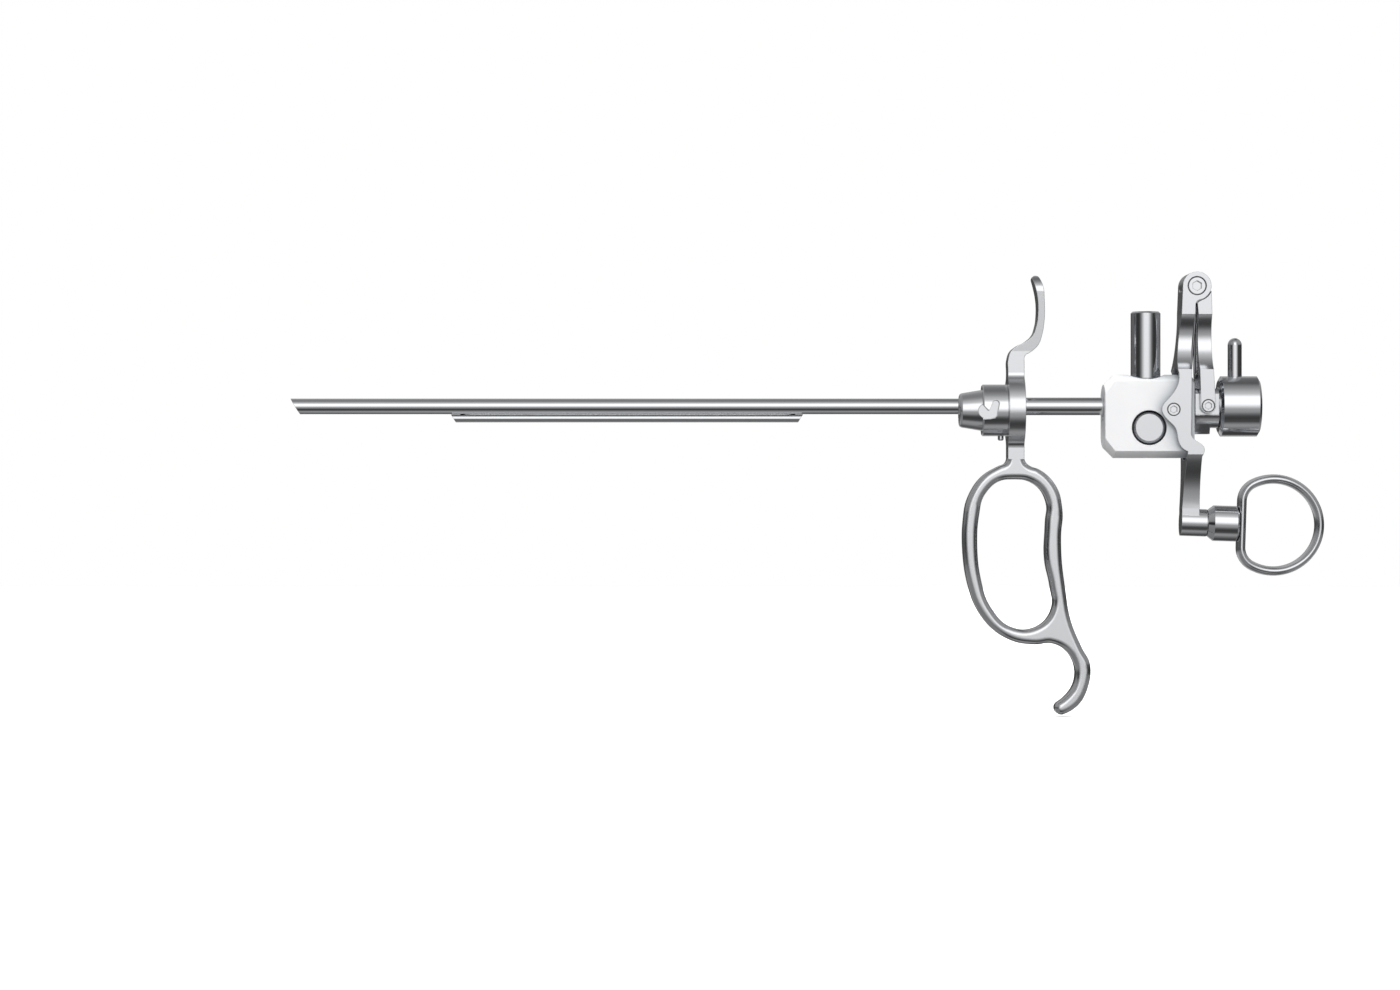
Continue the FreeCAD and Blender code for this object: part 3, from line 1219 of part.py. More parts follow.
def make_seal_gland():
    body = new_body("seal_gland", ("Sizes.rear_tube_end + 2.2 + Sizes.seal_length", "0", "0"))
    outside = "Sizes.gland_od / 2 - Sizes.braze_gap"
    inside = "Sizes.tube_bore / 2"
    revolve(body, (
        ("0", inside), ("Sizes.gland_length - 0.8", inside),
        ("Sizes.gland_length", inside + " + 0.8"), ("Sizes.gland_length", outside),
        ("0", outside)))
    keep(body)


def make_lock_ring():
    """Knurl-free lock ring that turns on the spigot."""
    clear = "Sizes.spigot_od / 2 + Sizes.running_gap"
    body = new_body("lock_ring_turned", ("Sizes.knob_front", "0", "0"))
    edge = "Sizes.knob_edge"
    recess = "Sizes.knob_length - (Sizes.knob_front + Sizes.knob_length"
    recess += " - Sizes.spigot_end + Sizes.clip_thick + 0.5)"
    revolve(body, (
        ("0", clear),
        ("0", "Sizes.knob_od / 2 - Sizes.knob_edge * 1.3"),
        (edge + " * 0.75", "Sizes.knob_od / 2"),
        ("Sizes.knob_length - " + edge + " * 0.75", "Sizes.knob_od / 2"),
        ("Sizes.knob_length", "Sizes.knob_od / 2 - Sizes.knob_edge * 1.3"),
        ("Sizes.knob_length", "Sizes.knob_bore_back / 2"),
        (recess, "Sizes.knob_bore_back / 2"),
        (recess, clear)))
    pin_hole = stock("Cylinder", "lock_pin_hole", {
        "Radius": "Sizes.knob_pin_od / 2", "Height": "Sizes.knob_od"},
        ("Sizes.knob_pin_back", "0", "Sizes.knob_od / 2 - Sizes.knob_pin_bite"))
    keep(cut("lock_ring", body, [pin_hole]))


def make_lock_lever_pin():
    radius = size("knob_pin_od") / 2 - size("braze_gap")
    low = size("knob_od") / 2 - size("knob_pin_bite")
    top = size("knob_pin_top") - radius
    x = size("knob_pin_back")
    shaft = rod((x, 0, low), (x, 0, top), radius)
    dome = Part.makeSphere(radius, V(x, 0, top))
    formed("lock_lever_pin", shaft.fuse(dome).removeSplitter())


def make_lock_ring_clip():
    """Split retaining ring in the spigot's groove."""
    inside = size("spigot_od") / 2 - 0.48
    outside = size("knob_bore_back") / 2 - 0.3
    x = size("spigot_end") - size("clip_thick") - 0.38
    ring = rod((x, 0, 0), (x + size("clip_thick"), 0, 0), outside).cut(
        rod((x - 1, 0, 0), (x + 3, 0, 0), inside))
    gap = box_between((x - 1, -1.2, -10), (x + 3, 1.2, 0))
    formed("lock_ring_clip", ring.cut(gap))


make_guide_tube()
make_rear_guide_tube()
make_stabilizer_sleeve()
make_sheath_cone()
make_bayonet_barrel()
make_index_pin()
make_handle_frame()
make_carriage_block()
make_hf_socket_sleeve()
make_hf_insulator()
make_hf_contact_pin()
make_contact_strip()
make_lock_button()
make_lock_spring()
make_lock_cap()
make_keeper_pin()
make_thumb_lever()
make_rear_link()
pivot_screws("lever_pivot_screws", size("lever_back"), -size("lever_drop"),
             size("lever_wide") / 2, size("block_wide") / 2)
pivot_screws("link_pivot_screws", size("link_back"), 0,
             size("link_wide") / 2, size("rear_flat_wide") / 2)
make_top_pivot_screw()
make_return_spring()
make_ring_post()
make_ring_collar()
make_swivel_nut()
make_thumb_ring()
make_rear_bridge()
make_telescope_seal()
make_seal_gland()
make_lock_ring()
make_lock_lever_pin()
make_lock_ring_clip()
doc.recompute()

for item in doc.Objects:
    if "Invalid" in item.State or "Error" in item.State:
        raise RuntimeError("failed object: " + item.Label)
os.makedirs("parts", exist_ok=True)
for item in pieces:
    shape = item.Shape
    if shape.isNull() or not shape.isValid():
        raise RuntimeError("bad shape: " + item.Label)
    shape.exportStep("parts/" + item.Label + ".step")
    box = shape.BoundBox
    print("%-20s %d solid(s) %9.2f mm3  x %.1f..%.1f y %.1f..%.1f z %.1f..%.1f" % (
        item.Label, len(shape.Solids), shape.Volume, box.XMin, box.XMax, box.YMin, box.YMax,
        box.ZMin, box.ZMax))
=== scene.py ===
import bpy
import bmesh
import math
from mathutils import Matrix, Vector


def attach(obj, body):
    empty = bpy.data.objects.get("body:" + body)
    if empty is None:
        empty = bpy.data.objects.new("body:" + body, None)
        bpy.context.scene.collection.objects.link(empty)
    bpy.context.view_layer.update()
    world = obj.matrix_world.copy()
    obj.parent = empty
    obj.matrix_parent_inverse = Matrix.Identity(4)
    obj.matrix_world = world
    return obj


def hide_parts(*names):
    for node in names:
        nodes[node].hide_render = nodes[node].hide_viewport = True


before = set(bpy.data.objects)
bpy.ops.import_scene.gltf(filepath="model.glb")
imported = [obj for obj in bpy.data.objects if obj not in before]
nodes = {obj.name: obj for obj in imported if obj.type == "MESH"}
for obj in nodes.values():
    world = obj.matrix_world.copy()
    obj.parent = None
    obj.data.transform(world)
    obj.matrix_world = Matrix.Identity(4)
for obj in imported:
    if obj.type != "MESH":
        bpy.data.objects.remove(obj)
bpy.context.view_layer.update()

mm = 0.001
print("working element loaded:", len(nodes), "nodes")


# small helpers for the node trees

softSamples = 6  # rays for each softened edge or shaded corner
streakShare = 0.6  # of the streaks in a steel's tint and roughness, the rest is clouds
turnGrain = 1.4  # cells of turned grain in one radian

def newMaterial(name):
    material = bpy.data.materials.new(name)
    material.use_nodes = True
    tree = material.node_tree
    shader = next(n for n in tree.nodes if n.type == "BSDF_PRINCIPLED")
    return material, tree, shader


def addNode(tree, kind, **values):
    node = tree.nodes.new(kind)
    for key, value in values.items():
        if key.startswith("in_"):
            node.inputs[key[3:].replace("_", " ")].default_value = value
        else:
            setattr(node, key, value)
    return node


def mathNode(tree, operation, first, second=None, third=None):
    node = addNode(tree, "ShaderNodeMath", operation=operation)
    for index, item in enumerate((first, second, third)):
        if item is None:
            continue
        if isinstance(item, (int, float)):
            node.inputs[index].default_value = item
        else:
            tree.links.new(item, node.inputs[index])
    return node.outputs[0]


def rampNode(tree, source, stops):
    node = addNode(tree, "ShaderNodeValToRGB")
    ramp = node.color_ramp
    while len(ramp.elements) > 1:
        ramp.elements.remove(ramp.elements[-1])
    for index, (place, grey) in enumerate(stops):
        element = ramp.elements[0] if index == 0 else ramp.elements.new(place)
        element.position = place
        colour = grey if isinstance(grey, tuple) else (grey, grey, grey)
        element.color = (*colour, 1.0)
    tree.links.new(source, node.inputs["Fac"])
    return node.outputs["Color"]


def rangeNode(tree, source, span, result=(0.0, 1.0), **values):
    node = addNode(tree, "ShaderNodeMapRange", **values)
    for socket, value in zip(("From Min", "From Max", "To Min", "To Max"), (*span, *result)):
        node.inputs[socket].default_value = value
    tree.links.new(source, node.inputs["Value"])
    return node.outputs["Result"]


def multiplied(tree, first, second):
    node = addNode(tree, "ShaderNodeMixRGB", blend_type="MULTIPLY", in_Fac=1.0)
    tree.links.new(first, node.inputs["Color1"])
    tree.links.new(second, node.inputs["Color2"])
    return node.outputs[0]


def scaledCoords(tree, scale=(1, 1, 1)):
    coords = addNode(tree, "ShaderNodeTexCoord")
    mapping = addNode(tree, "ShaderNodeMapping", in_Scale=scale)
    tree.links.new(coords.outputs["Object"], mapping.inputs["Vector"])
    return mapping.outputs["Vector"]


def turnedCoords(tree, axis, centre, grain):
    # streaks that run round an axis: fine along the axis and outwards, long round it
    coords = addNode(tree, "ShaderNodeTexCoord")
    shift = addNode(tree, "ShaderNodeVectorMath", operation="SUBTRACT")
    shift.inputs[1].default_value = centre
    tree.links.new(coords.outputs["Object"], shift.inputs[0])
    parts = addNode(tree, "ShaderNodeSeparateXYZ")
    tree.links.new(shift.outputs[0], parts.inputs[0])
    names = {"X": ("X", "Y", "Z"), "Y": ("Y", "Z", "X"), "Z": ("Z", "X", "Y")}[axis]
    along, first, second = (parts.outputs[name] for name in names)
    reach = mathNode(tree, "SQRT", mathNode(tree, "ADD", mathNode(tree, "MULTIPLY", first, first),
                                            mathNode(tree, "MULTIPLY", second, second)))
    turn = mathNode(tree, "ARCTAN2", second, first)
    joined = addNode(tree, "ShaderNodeCombineXYZ")
    tree.links.new(mathNode(tree, "MULTIPLY", along, grain), joined.inputs[0])
    tree.links.new(mathNode(tree, "MULTIPLY", reach, grain), joined.inputs[1])
    tree.links.new(mathNode(tree, "MULTIPLY", turn, turnGrain), joined.inputs[2])
    return joined.outputs[0]


def paintedCornerShade(tree, colour, look):
    # painted shade: the colour is darkened by ambient occlusion, so tight corners, sockets and gaps
    # come out darker than open faces
    near = addNode(tree, "ShaderNodeAmbientOcclusion", samples=softSamples, in_Distance=look["reach"])
    return multiplied(tree, colour, rampNode(tree, near.outputs["AO"], look["shade"]))


def steelFinish(name, look, vector=None):
    material, tree, shader = newMaterial(name)
    vector = vector(tree) if vector else scaledCoords(tree, look["grain"])
    streaks = addNode(tree, "ShaderNodeTexNoise", in_Scale=1.0, in_Detail=3.0, in_Roughness=0.6)
    tree.links.new(vector, streaks.inputs["Vector"])
    clouds = addNode(tree, "ShaderNodeTexNoise", in_Scale=look["cloudScale"], in_Detail=2.0)
    tree.links.new(scaledCoords(tree), clouds.inputs["Vector"])
    both = mathNode(tree, "ADD", mathNode(tree, "MULTIPLY", streaks.outputs["Fac"], streakShare),
                    mathNode(tree, "MULTIPLY", clouds.outputs["Fac"], 1 - streakShare))
    tree.links.new(rangeNode(tree, both, (0.3, 0.7), look["rough"]), shader.inputs["Roughness"])
    tint = rampNode(tree, both, ((0.25, look["dark"]), (0.75, look["light"])))
    # painted shade: the steel's tint is darkened in corners, sockets and gaps
    tree.links.new(paintedCornerShade(tree, tint, look["corners"]), shader.inputs["Base Color"])
    shader.inputs["Metallic"].default_value = 1.0
    # the bevel breaks every sharp edge a little
    soft = addNode(tree, "ShaderNodeBevel", samples=softSamples, in_Radius=look["edge"])
    if "lowEdge" in look:  # heights of the object, and the edge at each of them
        height = addNode(tree, "ShaderNodeSeparateXYZ")
        tree.links.new(scaledCoords(tree), height.inputs[0])
        tree.links.new(rangeNode(tree, height.outputs["Z"], *look["lowEdge"]), soft.inputs["Radius"])
    bump = addNode(tree, "ShaderNodeBump", in_Strength=look["bump"], in_Distance=look["depth"])
    tree.links.new(streaks.outputs["Fac"], bump.inputs["Height"])
    tree.links.new(soft.outputs[0], bump.inputs["Normal"])
    tree.links.new(bump.outputs[0], shader.inputs["Normal"])
    return material


# in each look, corners sets the painted corner shade: how far the occlusion reaches and how dark it
# paints the colour
satinSteel = {
    "grain": (1100, 9000, 900), "cloudScale": 45.0, "rough": (0.15, 0.19),
    "dark": (0.78, 0.79, 0.815), "light": (0.82, 0.83, 0.85),
    "bump": 0.02, "depth": 0.00001, "edge": 0.0004,
    "corners": {"reach": 0.0007, "shade": ((0.25, 0.22), (0.55, 0.7), (0.85, 1.0))}}
polishedSteel = {
    "grain": (320, 9000, 9000), "cloudScale": 60.0, "rough": (0.08, 0.115),
    "dark": (0.79, 0.80, 0.825), "light": (0.83, 0.84, 0.86),
    "bump": 0.02, "depth": 0.00001, "edge": 0.00016,
    "corners": {"reach": 0.0006, "shade": ((0.2, 0.3), (0.5, 0.72), (0.8, 1.0))}}
turnedSteel = dict(polishedSteel, bump=0.012, rough=(0.085, 0.105))
springWire = {
    "grain": (3000, 3000, 3000), "cloudScale": 200.0, "rough": (0.24, 0.36),
    "dark": (0.42, 0.42, 0.44), "light": (0.56, 0.56, 0.58),
    "bump": 0.08, "depth": 0.00001, "edge": 0.00005,
    "corners": {"reach": 0.0008, "shade": ((0.2, 0.3), (0.8, 1.0))}}
contactBrass = {
    "grain": (4000, 4000, 600), "cloudScale": 120.0, "rough": (0.2, 0.32),
    "dark": (0.66, 0.50, 0.25), "light": (0.78, 0.62, 0.34),
    "bump": 0.05, "depth": 0.00001, "edge": 0.0001,
    "corners": {"reach": 0.0008, "shade": ((0.2, 0.4), (0.8, 1.0))}}


def around(axis, centre, grain=6000.0):
    return lambda tree: turnedCoords(tree, axis, centre, grain)


# a point on the axis that each turned finish runs round, in metres
axisPlaces = {
    "barrel": (0.0, 0.0, -0.0012), "knob": (0.0, 0.0, 0.0), "collar": (0.0, 0.0, -0.0352),
    "socket": (0.04155, 0.0, 0.0), "pin": (0.0683, 0.0, 0.0), "button": (0.0419, 0.0, -0.0065)}

# the finger loop's bars are rounder than the plate above them
castSteel = dict(satinSteel, lowEdge=((-0.026, -0.02), (0.0006, 0.0003)))
buttonSteel = dict(satinSteel, bump=0.04, rough=(0.18, 0.24), edge=0.0002)

castFinish = steelFinish("satinCastSteel", castSteel)
ringFinish = steelFinish("satinRingSteel", dict(satinSteel, edge=0.0002))
armFinish = steelFinish("satinArmSteel", dict(satinSteel, grain=(5200, 2600, 420), edge=0.00022))
tubeFinish = steelFinish("polishedTubeSteel", polishedSteel)
turnedFinish = steelFinish("turnedSteel", turnedSteel, around("X", axisPlaces["barrel"]))
knobFinish = steelFinish("turnedKnobSteel", turnedSteel, around("X", axisPlaces["knob"]))
collarFinish = steelFinish("turnedCollarSteel", turnedSteel, around("X", axisPlaces["collar"]))
socketFinish = steelFinish("turnedSocketSteel", turnedSteel, around("Z", axisPlaces["socket"]))
pinFinish = steelFinish("turnedPinSteel", turnedSteel, around("Z", axisPlaces["pin"]))
buttonFinish = steelFinish("turnedButtonSteel", buttonSteel,
                           around("Y", axisPlaces["button"], 7000.0))
wireFinish = steelFinish("springWire", springWire)
brassFinish = steelFinish("contactBrass", contactBrass)
print("metals ready")


polymerScatter = (0.0012, 0.0011, 0.001)  # how far red, green and blue light goes in
polymerGrain = 0.00003  # depth of the moulded grain


def plasticFinish(name, look):
    material, tree, shader = newMaterial(name)
    coords = scaledCoords(tree)
    grain = addNode(tree, "ShaderNodeTexNoise", in_Scale=look["grainScale"], in_Detail=4.0)
    tree.links.new(coords, grain.inputs["Vector"])
    flow = addNode(tree, "ShaderNodeTexNoise", in_Scale=look["flowScale"], in_Detail=2.0)
    tree.links.new(coords, flow.inputs["Vector"])
    tint = rampNode(tree, flow.outputs["Fac"], ((0.3, look["dark"]), (0.7, look["light"])))
    # painted shade: the polymer's tint is darkened in corners and next to neighbouring parts
    tree.links.new(paintedCornerShade(tree, tint, look["corners"]), shader.inputs["Base Color"])
    rough = rangeNode(tree, grain.outputs["Fac"], (0.0, 1.0), look["rough"])
    tree.links.new(rough, shader.inputs["Roughness"])
    shader.inputs["Subsurface Weight"].default_value = look["scatter"]
    shader.inputs["Subsurface Radius"].default_value = polymerScatter
    shader.inputs["Specular IOR Level"].default_value = look["specular"]
    soft = addNode(tree, "ShaderNodeBevel", samples=softSamples, in_Radius=look["edge"])
    bump = addNode(tree, "ShaderNodeBump", in_Strength=look["bump"], in_Distance=polymerGrain)
    tree.links.new(grain.outputs["Fac"], bump.inputs["Height"])
    tree.links.new(soft.outputs[0], bump.inputs["Normal"])
    tree.links.new(bump.outputs[0], shader.inputs["Normal"])
    return material


whitePolymer = {
    "grainScale": 5200.0, "flowScale": 70.0,
    "dark": (0.895, 0.90, 0.912), "light": (0.93, 0.932, 0.942),
    "rough": (0.34, 0.46), "scatter": 0.15, "specular": 0.4, "edge": 0.0004, "bump": 0.06,
    # a wide reach, so painted shade spreads well out from the lever and button over the block's faces
    "corners": {"reach": 0.01, "shade": ((0.2, (0.36, 0.38, 0.40)), (0.5, (0.50, 0.52, 0.54)),
                                         (0.83, (0.71, 0.73, 0.75)), (1.0, 1.0))}}
greyPolymer = {
    "grainScale": 5200.0, "flowScale": 90.0,
    "dark": (0.20, 0.205, 0.21), "light": (0.26, 0.265, 0.27),
    "rough": (0.36, 0.5), "scatter": 0.0, "specular": 0.4, "edge": 0.0002, "bump": 0.12,
    "corners": {"reach": 0.002, "shade": ((0.2, 0.6), (0.9, 1.0))}}
sealRubber = {
    "grainScale": 3800.0, "flowScale": 90.0,
    "dark": (0.016, 0.016, 0.017), "light": (0.03, 0.03, 0.031),
    "rough": (0.5, 0.68), "scatter": 0.0, "specular": 0.35, "edge": 0.0001, "bump": 0.2,
    "corners": {"reach": 0.001, "shade": ((0.2, 0.7), (0.9, 1.0))}}

blockFinish = plasticFinish("whitePolymer", whitePolymer)
insulatorFinish = plasticFinish("greyPolymer", greyPolymer)
rubberFinish = plasticFinish("sealRubber", sealRubber)

finishes = {
    "handle_frame": castFinish,
    "guide_tube": tubeFinish, "rear_guide_tube": tubeFinish, "stabilizer_sleeve": tubeFinish,
    "sheath_cone": turnedFinish, "bayonet_barrel": turnedFinish, "index_pin": pinFinish,
    "rear_bridge": armFinish, "telescope_seal": rubberFinish, "seal_gland": knobFinish,
    "lock_ring_clip": wireFinish, "link_pivot_screws": pinFinish,
    "carriage_block": blockFinish, "hf_socket_sleeve": socketFinish, "hf_insulator": insulatorFinish,
    "hf_contact_pin": brassFinish, "contact_strip": brassFinish, "lock_cap": buttonFinish,
    "keeper_pin": pinFinish, "lever_pivot_screws": pinFinish,
    "lock_button": buttonFinish, "lock_spring": wireFinish,
    "thumb_lever": armFinish, "top_pivot_screw": pinFinish, "ring_post": collarFinish,
    "swivel_nut": collarFinish, "rear_link": armFinish, "return_spring": wireFinish,
    "ring_collar": collarFinish, "thumb_ring": ringFinish,
    "lock_ring": knobFinish, "lock_lever_pin": pinFinish}

for name, piece in nodes.items():
    piece.data.materials.clear()
    piece.data.materials.append(finishes[name])
print("finishes on", len(finishes), "nodes")


# pieces made here

def meshPiece(name, mesh, finish, body):
    piece = bpy.data.objects.new(name, mesh)
    bpy.context.scene.collection.objects.link(piece)
    mesh.materials.append(finish)
    for face in mesh.polygons:
        face.use_smooth = True
    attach(piece, body)


def gridMesh(name, rows, closeRows=False):
    # rows of points joined into a skin, each row a closed ring
    shape = bmesh.new()
    grid = [[shape.verts.new(point) for point in row] for row in rows]
    for index in range(len(grid) if closeRows else len(grid) - 1):
        row, following = grid[index], grid[(index + 1) % len(grid)]
        for place in range(len(row)):
            after = (place + 1) % len(row)
            shape.faces.new((row[place], row[after], following[after], following[place]))
    if not closeRows:
        shape.faces.new(list(reversed(grid[0])))
        shape.faces.new(grid[-1])
    bmesh.ops.recalc_face_normals(shape, faces=shape.faces)
    mesh = bpy.data.meshes.new(name)
    shape.to_mesh(mesh)
    shape.free()
    return mesh


# braze fillet in the corner between the guide tube and the electrode sleeve

brazeSeam = {
    "front": -164.0, "back": -63.5, "tubeRadius": 2.35, "sleeveRadius": 1.175, "sleeveDrop": 3.6,
    "fill": 0.5, "endFill": 0.4, "sections": 60, "fadeSections": 2, "steps": 6,
    "hollow": 0.3, "rootDepth": 0.04, "wander": 0.012, "waves": (1.7, 0.37)}


def makeBrazeSeam(side):
    look = brazeSeam
    rows = []
    count = look["sections"]
    fadeRate = count / look["fadeSections"]
    for index in range(count + 1):
        share = index / count
        x = look["front"] + (look["back"] - look["front"]) * share
        fade = min(1.0, share * fadeRate, (1 - share) * fadeRate)
        lift = look["wander"] * math.sin(index * look["waves"][0]) * math.sin(index * look["waves"][1])
        reach = (look["fill"] + lift) * (look["endFill"] + (1 - look["endFill"]) * fade)
        upper = math.asin(reach / look["tubeRadius"])
        lower = math.asin(reach / look["sleeveRadius"])
        top = Vector((x, side * math.sin(upper) * look["tubeRadius"],
                      -math.cos(upper) * look["tubeRadius"]))
        foot = Vector((x, side * math.sin(lower) * look["sleeveRadius"],
                       -look["sleeveDrop"] + math.cos(lower) * look["sleeveRadius"]))
        root = Vector((x, 0, -look["tubeRadius"] - look["rootDepth"]))
        middle = (top + foot) / 2 + (root - (top + foot) / 2) * look["hollow"]
        row = []
        for step in range(look["steps"] + 1):
            blend = step / look["steps"]
            point = top * (1 - blend) ** 2 + middle * 2 * blend * (1 - blend) + foot * blend ** 2
            row.append(point * mm)
        row.append(root * mm)
        rows.append(row)
    mesh = gridMesh("brazeSeam", rows)
    name = "braze_seam_near" if side < 0 else "braze_seam_far"
    meshPiece(name, mesh, tubeFinish, "frame")


makeBrazeSeam(-1)
makeBrazeSeam(1)


# ring-shaped braze fillets: a small concave corner turned round an axis

filletRing = {"sections": 72, "steps": 5, "sink": 0.01}

def makeFilletRing(name, look, finish, body):
    start, heading = Vector(look["corner"]), Vector(look["heading"]).normalized()
    side = heading.orthogonal().normalized()
    rows = []
    count = filletRing["sections"]
    for index in range(count):
        turn = Matrix.Rotation(2 * math.pi * index / count, 3, heading)
        outward = turn @ side
        row = []
        for step in range(filletRing["steps"] + 1):
            angle = math.pi / 2 * step / filletRing["steps"]
            out = look["radius"] + look["size"] * (1 - math.sin(angle))
            along = look["size"] * (1 - math.cos(angle))
            row.append((start + outward * out + heading * along) * mm)
        row.append((start + outward * (look["radius"] - filletRing["sink"])) * mm)
        rows.append(row)
    mesh = gridMesh(name, rows, closeRows=True)
    meshPiece(name, mesh, finish, body)


coneFillet = {"corner": (-14.4, 0, 0), "heading": (-1, 0, 0), "radius": 2.35, "size": 0.35}
makeFilletRing("cone_braze_fillet", coneFillet, tubeFinish, "frame")
plateFillet = {"corner": (4.9, 0, 0), "heading": (1, 0, 0), "radius": 2.65, "size": 0.3}
makeFilletRing("plate_braze_fillet", plateFillet, tubeFinish, "frame")
print("braze seams done")


# the lock spring in round wire, in place of its eight-sided solid

def wirePiece(name, points, radius, finish, body, node):
    curve = bpy.data.curves.new(name, "CURVE")
    curve.dimensions = "3D"
    curve.bevel_depth = radius * mm
    curve.bevel_resolution = 4
    curve.use_fill_caps = True
    line = curve.splines.new("POLY")
    line.points.add(len(points) - 1)
    for point, place in zip(line.points, points):
        point.co = (*[value * mm for value in place], 1.0)
    line.use_smooth = True
    curve.materials.append(finish)
    piece = bpy.data.objects.new(name, curve)
    bpy.context.scene.collection.objects.link(piece)
    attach(piece, body)
    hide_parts(node)


lockSpring = {
    "centre": (41.9, -6.5), "radius": 2.3, "wire": 0.3, "turns": 5.0, "closed": 0.8,
    "turnPoints": 24, "low": 1.72, "high": 5.03}


def makeLockSpring():
    look = lockSpring
    points = []
    count = int(look["turns"] * look["turnPoints"])
    for index in range(count + 1):
        share = index / count
        angle = 2 * math.pi * look["turns"] * share
        risen = (share * look["turns"] - look["closed"]) / (look["turns"] - 2 * look["closed"])
        risen = min(1.0, max(0.0, risen))  # the turns at each end lie flat
        points.append((look["centre"][0] + look["radius"] * math.cos(angle),
                       look["low"] + (look["high"] - look["low"]) * risen,
                       look["centre"][1] + look["radius"] * math.sin(angle)))
    wirePiece("lock_spring_wire", points, look["wire"], wireFinish, "electrode_lock",
              "lock_spring")


makeLockSpring()
print("lock spring wound")


# floor, lamps, world and camera

floor = {
    "level": -93.0, "half": 1600.0, "colour": (0.84, 0.84, 0.845), "glow": 0.42,
    "dustScale": 9.0, "dustShade": 0.985, "rough": 0.8, "specular": 0.2}


def makeFloor():
    look = floor
    half, level = look["half"] * mm, look["level"] * mm
    shape = bmesh.new()
    turns = ((-1, -1), (1, -1), (1, 1), (-1, 1))
    shape.faces.new([shape.verts.new((x * half, y * half, level)) for x, y in turns])
    mesh = bpy.data.meshes.new("floor")
    shape.to_mesh(mesh)
    shape.free()
    piece = bpy.data.objects.new("floor", mesh)
    bpy.context.scene.collection.objects.link(piece)
    material, tree, shader = newMaterial("paleFloor")
    coords = scaledCoords(tree)
    dust = addNode(tree, "ShaderNodeTexNoise", in_Scale=look["dustScale"], in_Detail=3.0)
    tree.links.new(coords, dust.inputs["Vector"])
    low = tuple(value * look["dustShade"] for value in look["colour"])
    tint = rampNode(tree, dust.outputs["Fac"], ((0.3, low), (0.7, look["colour"])))
    tree.links.new(tint, shader.inputs["Base Color"])
    shader.inputs["Roughness"].default_value = look["rough"]
    shader.inputs["Specular IOR Level"].default_value = look["specular"]
    path = addNode(tree, "ShaderNodeLightPath")  # lifts the floor to white for the eye only
    glow = mathNode(tree, "MULTIPLY", path.outputs["Is Camera Ray"], look["glow"])
    shader.inputs["Emission Color"].default_value = (1, 1, 1, 1)
    tree.links.new(glow, shader.inputs["Emission Strength"])
    mesh.materials.append(material)
    piece.visible_glossy = False
    piece.visible_diffuse = False


makeFloor()

lamps = (
    {"name": "frontSoftbox", "place": (-0.15, -1.3, 0.75), "size": (1.5, 0.8), "power": 13.4},
    {"name": "topSoftbox", "place": (0.05, 0.15, 1.3), "size": (1.4, 1.0), "power": 10.8},
    {"name": "rearSoftbox", "place": (0.3, 1.4, 0.5), "size": (1.2, 0.8), "power": 7.4})
lampAim = Vector((0.0, 0.0, -0.02))


def makeLamp(look):
    lamp = bpy.data.lights.new(look["name"], "AREA")
    lamp.shape = "RECTANGLE"
    lamp.size, lamp.size_y = look["size"]
    lamp.energy = look["power"]
    piece = bpy.data.objects.new(look["name"], lamp)
    bpy.context.scene.collection.objects.link(piece)
    piece.location = look["place"]
    aim = lampAim - Vector(look["place"])
    piece.rotation_euler = aim.to_track_quat("-Z", "Y").to_euler()
    piece.visible_glossy = False  # the metal sees the studio wall of the world instead


for look in lamps:
    makeLamp(look)

studio = {
    # grey of the studio by height of the ray, -1 straight down to 1 straight up
    "front": ((-1.0, 0.33), (-0.96, 0.30), (-0.88, 0.075), (-0.72, 0.045), (-0.6, 0.075),
              (-0.48, 0.18), (-0.38, 0.31), (-0.17, 0.40), (-0.03, 0.76), (0.1, 1.16), (0.22, 1.35),
              (0.56, 1.3), (0.72, 0.66), (0.87, 0.46), (0.96, 0.29), (1.0, 0.22)),
    "back": ((-1.0, 0.31), (-0.9, 0.12), (-0.55, 0.06), (-0.25, 0.06), (0.0, 0.09), (0.3, 0.36),
             (0.6, 0.45), (0.85, 0.3), (1.0, 0.22)),
    # grey screens that fill the studio's corners, off the lines of sight and of height
    "screens": ((-1.0, 0.26), (-0.5, 0.2), (-0.15, 0.25), (0.1, 0.24), (0.5, 0.32), (0.8, 0.32),
                (1.0, 0.25)),
    "screenSide": (0.25, 0.45),
    "screenRise": (0.07, 0.2),
    # a softbox straight behind, which only the far side of the object sees
    "behind": ((-1.0, 0.3), (-0.7, 0.2), (-0.35, 0.4), (-0.18, 0.5), (-0.11, 0.2), (-0.08, 0.06),
               (0.06, 0.07), (0.12, 0.2), (0.25, 0.4), (0.5, 0.42), (0.8, 0.35), (1.0, 0.3)),
    "behindReach": (0.7, 0.9),
    # share of the front wall that is left towards the sides
    "sides": ((0.0, 1.0), (0.24, 0.98), (0.45, 0.62), (0.62, 0.26), (0.8, 0.05), (0.94, 0.03),
              (1.0, 0.06)),
    "fill": ((-1.0, 0.36), (-0.2, 0.62), (0.3, 0.8), (1.0, 0.95)),
    # share of the rear wall from left to right
    "backSides": ((0.0, 1.0), (0.5, 1.0), (0.58, 0.4), (1.0, 0.3)),
    "fillStrength": 0.84,
    "turn": (-0.18, 0.18)}  # where the front wall gives way to the back one


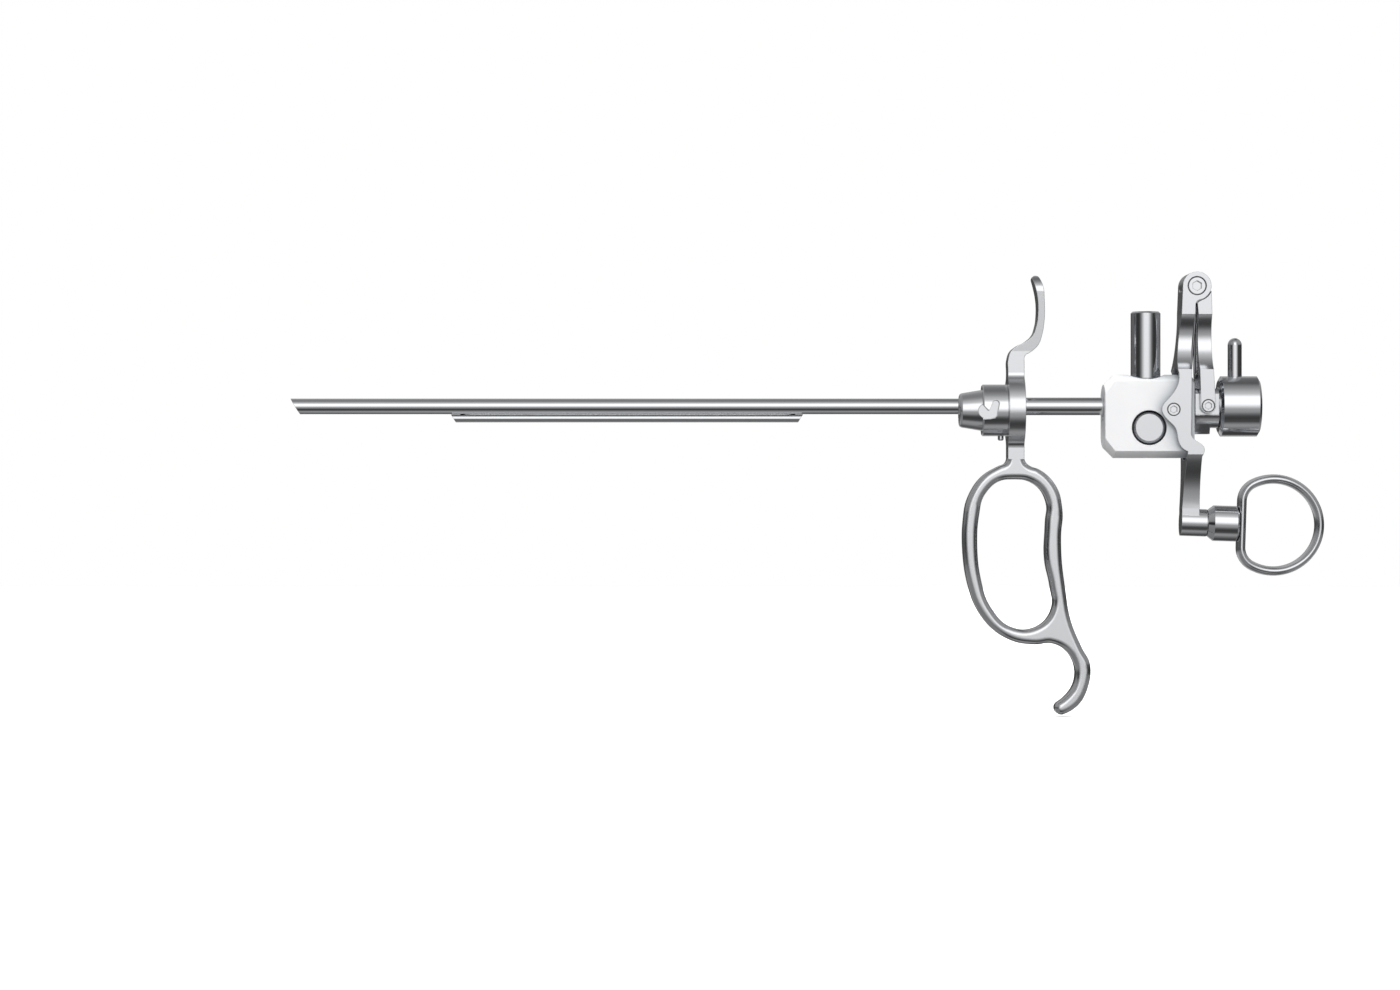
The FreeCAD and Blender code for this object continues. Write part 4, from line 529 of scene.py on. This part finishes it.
def makeWorld():
    # the camera sees white, glossy rays the graded studio, all other rays the soft fill
    look = studio
    world = bpy.data.worlds.new("studio")
    bpy.context.scene.world = world
    world.use_nodes = True
    tree = world.node_tree
    tree.nodes.clear()
    coords = addNode(tree, "ShaderNodeTexCoord")
    parts = addNode(tree, "ShaderNodeSeparateXYZ")
    tree.links.new(coords.outputs["Generated"], parts.inputs[0])
    x, y, z = parts.outputs

    def stretch(stops):
        return tuple(((place + 1) / 2, grey) for place, grey in stops)

    height = mathNode(tree, "MULTIPLY_ADD", z, 0.5, 0.5)
    front = rampNode(tree, height, stretch(look["front"]))
    back = rampNode(tree, height, stretch(look["back"]))
    sides = rampNode(tree, mathNode(tree, "ABSOLUTE", x), look["sides"])
    fill = rampNode(tree, height, stretch(look["fill"]))
    across = mathNode(tree, "MULTIPLY_ADD", x, 0.5, 0.5)
    frontSided = multiplied(tree, front, sides)
    backSided = multiplied(tree, back, rampNode(tree, across, look["backSides"]))

    def step(source, span):
        return rangeNode(tree, source, span, interpolation_type="SMOOTHSTEP")

    def mixed(share, near, far):
        node = addNode(tree, "ShaderNodeMixRGB")
        for place, source in zip(("Fac", "Color1", "Color2"), (share, near, far)):
            tree.links.new(source, node.inputs[place])
        return node.outputs[0]

    screens = rampNode(tree, height, stretch(look["screens"]))
    corner = mathNode(tree, "MULTIPLY", step(mathNode(tree, "ABSOLUTE", x), look["screenSide"]),
                      step(mathNode(tree, "ABSOLUTE", z), look["screenRise"]))
    front = mixed(corner, frontSided, screens)
    back = mixed(corner, backSided, screens)
    behind = rampNode(tree, height, stretch(look["behind"]))
    rear = mixed(step(y, look["behindReach"]), back, behind)
    wall = mixed(step(y, look["turn"]), front, rear)
    path = addNode(tree, "ShaderNodeLightPath")
    glossy = addNode(tree, "ShaderNodeBackground")
    tree.links.new(wall, glossy.inputs["Color"])
    soft = addNode(tree, "ShaderNodeBackground", in_Strength=look["fillStrength"])
    tree.links.new(fill, soft.inputs["Color"])
    eye = addNode(tree, "ShaderNodeBackground", in_Color=(1, 1, 1, 1))
    first = addNode(tree, "ShaderNodeMixShader")
    tree.links.new(path.outputs["Is Glossy Ray"], first.inputs[0])
    tree.links.new(soft.outputs[0], first.inputs[1])
    tree.links.new(glossy.outputs[0], first.inputs[2])
    second = addNode(tree, "ShaderNodeMixShader")
    tree.links.new(path.outputs["Is Camera Ray"], second.inputs[0])
    tree.links.new(first.outputs[0], second.inputs[1])
    tree.links.new(eye.outputs[0], second.inputs[2])
    out = addNode(tree, "ShaderNodeOutputWorld")
    tree.links.new(second.outputs[0], out.inputs["Surface"])


makeWorld()

view = {"place": (-92.1, -1150.0, -26.57), "frameWide": 420.0, "sensor": 36.0, "nearest": 0.05}


def makeCamera():
    look = view
    camera = bpy.data.cameras.new("viewCamera")
    camera.sensor_width = look["sensor"]
    camera.lens = look["sensor"] * -look["place"][1] / look["frameWide"]
    camera.clip_start = look["nearest"]
    piece = bpy.data.objects.new("viewCamera", camera)
    bpy.context.scene.collection.objects.link(piece)
    piece.location = Vector(look["place"]) * mm
    piece.rotation_euler = (math.pi / 2, 0, 0)
    bpy.context.scene.camera = piece


makeCamera()
bpy.context.scene.view_settings.view_transform = "Standard"
print("studio set")
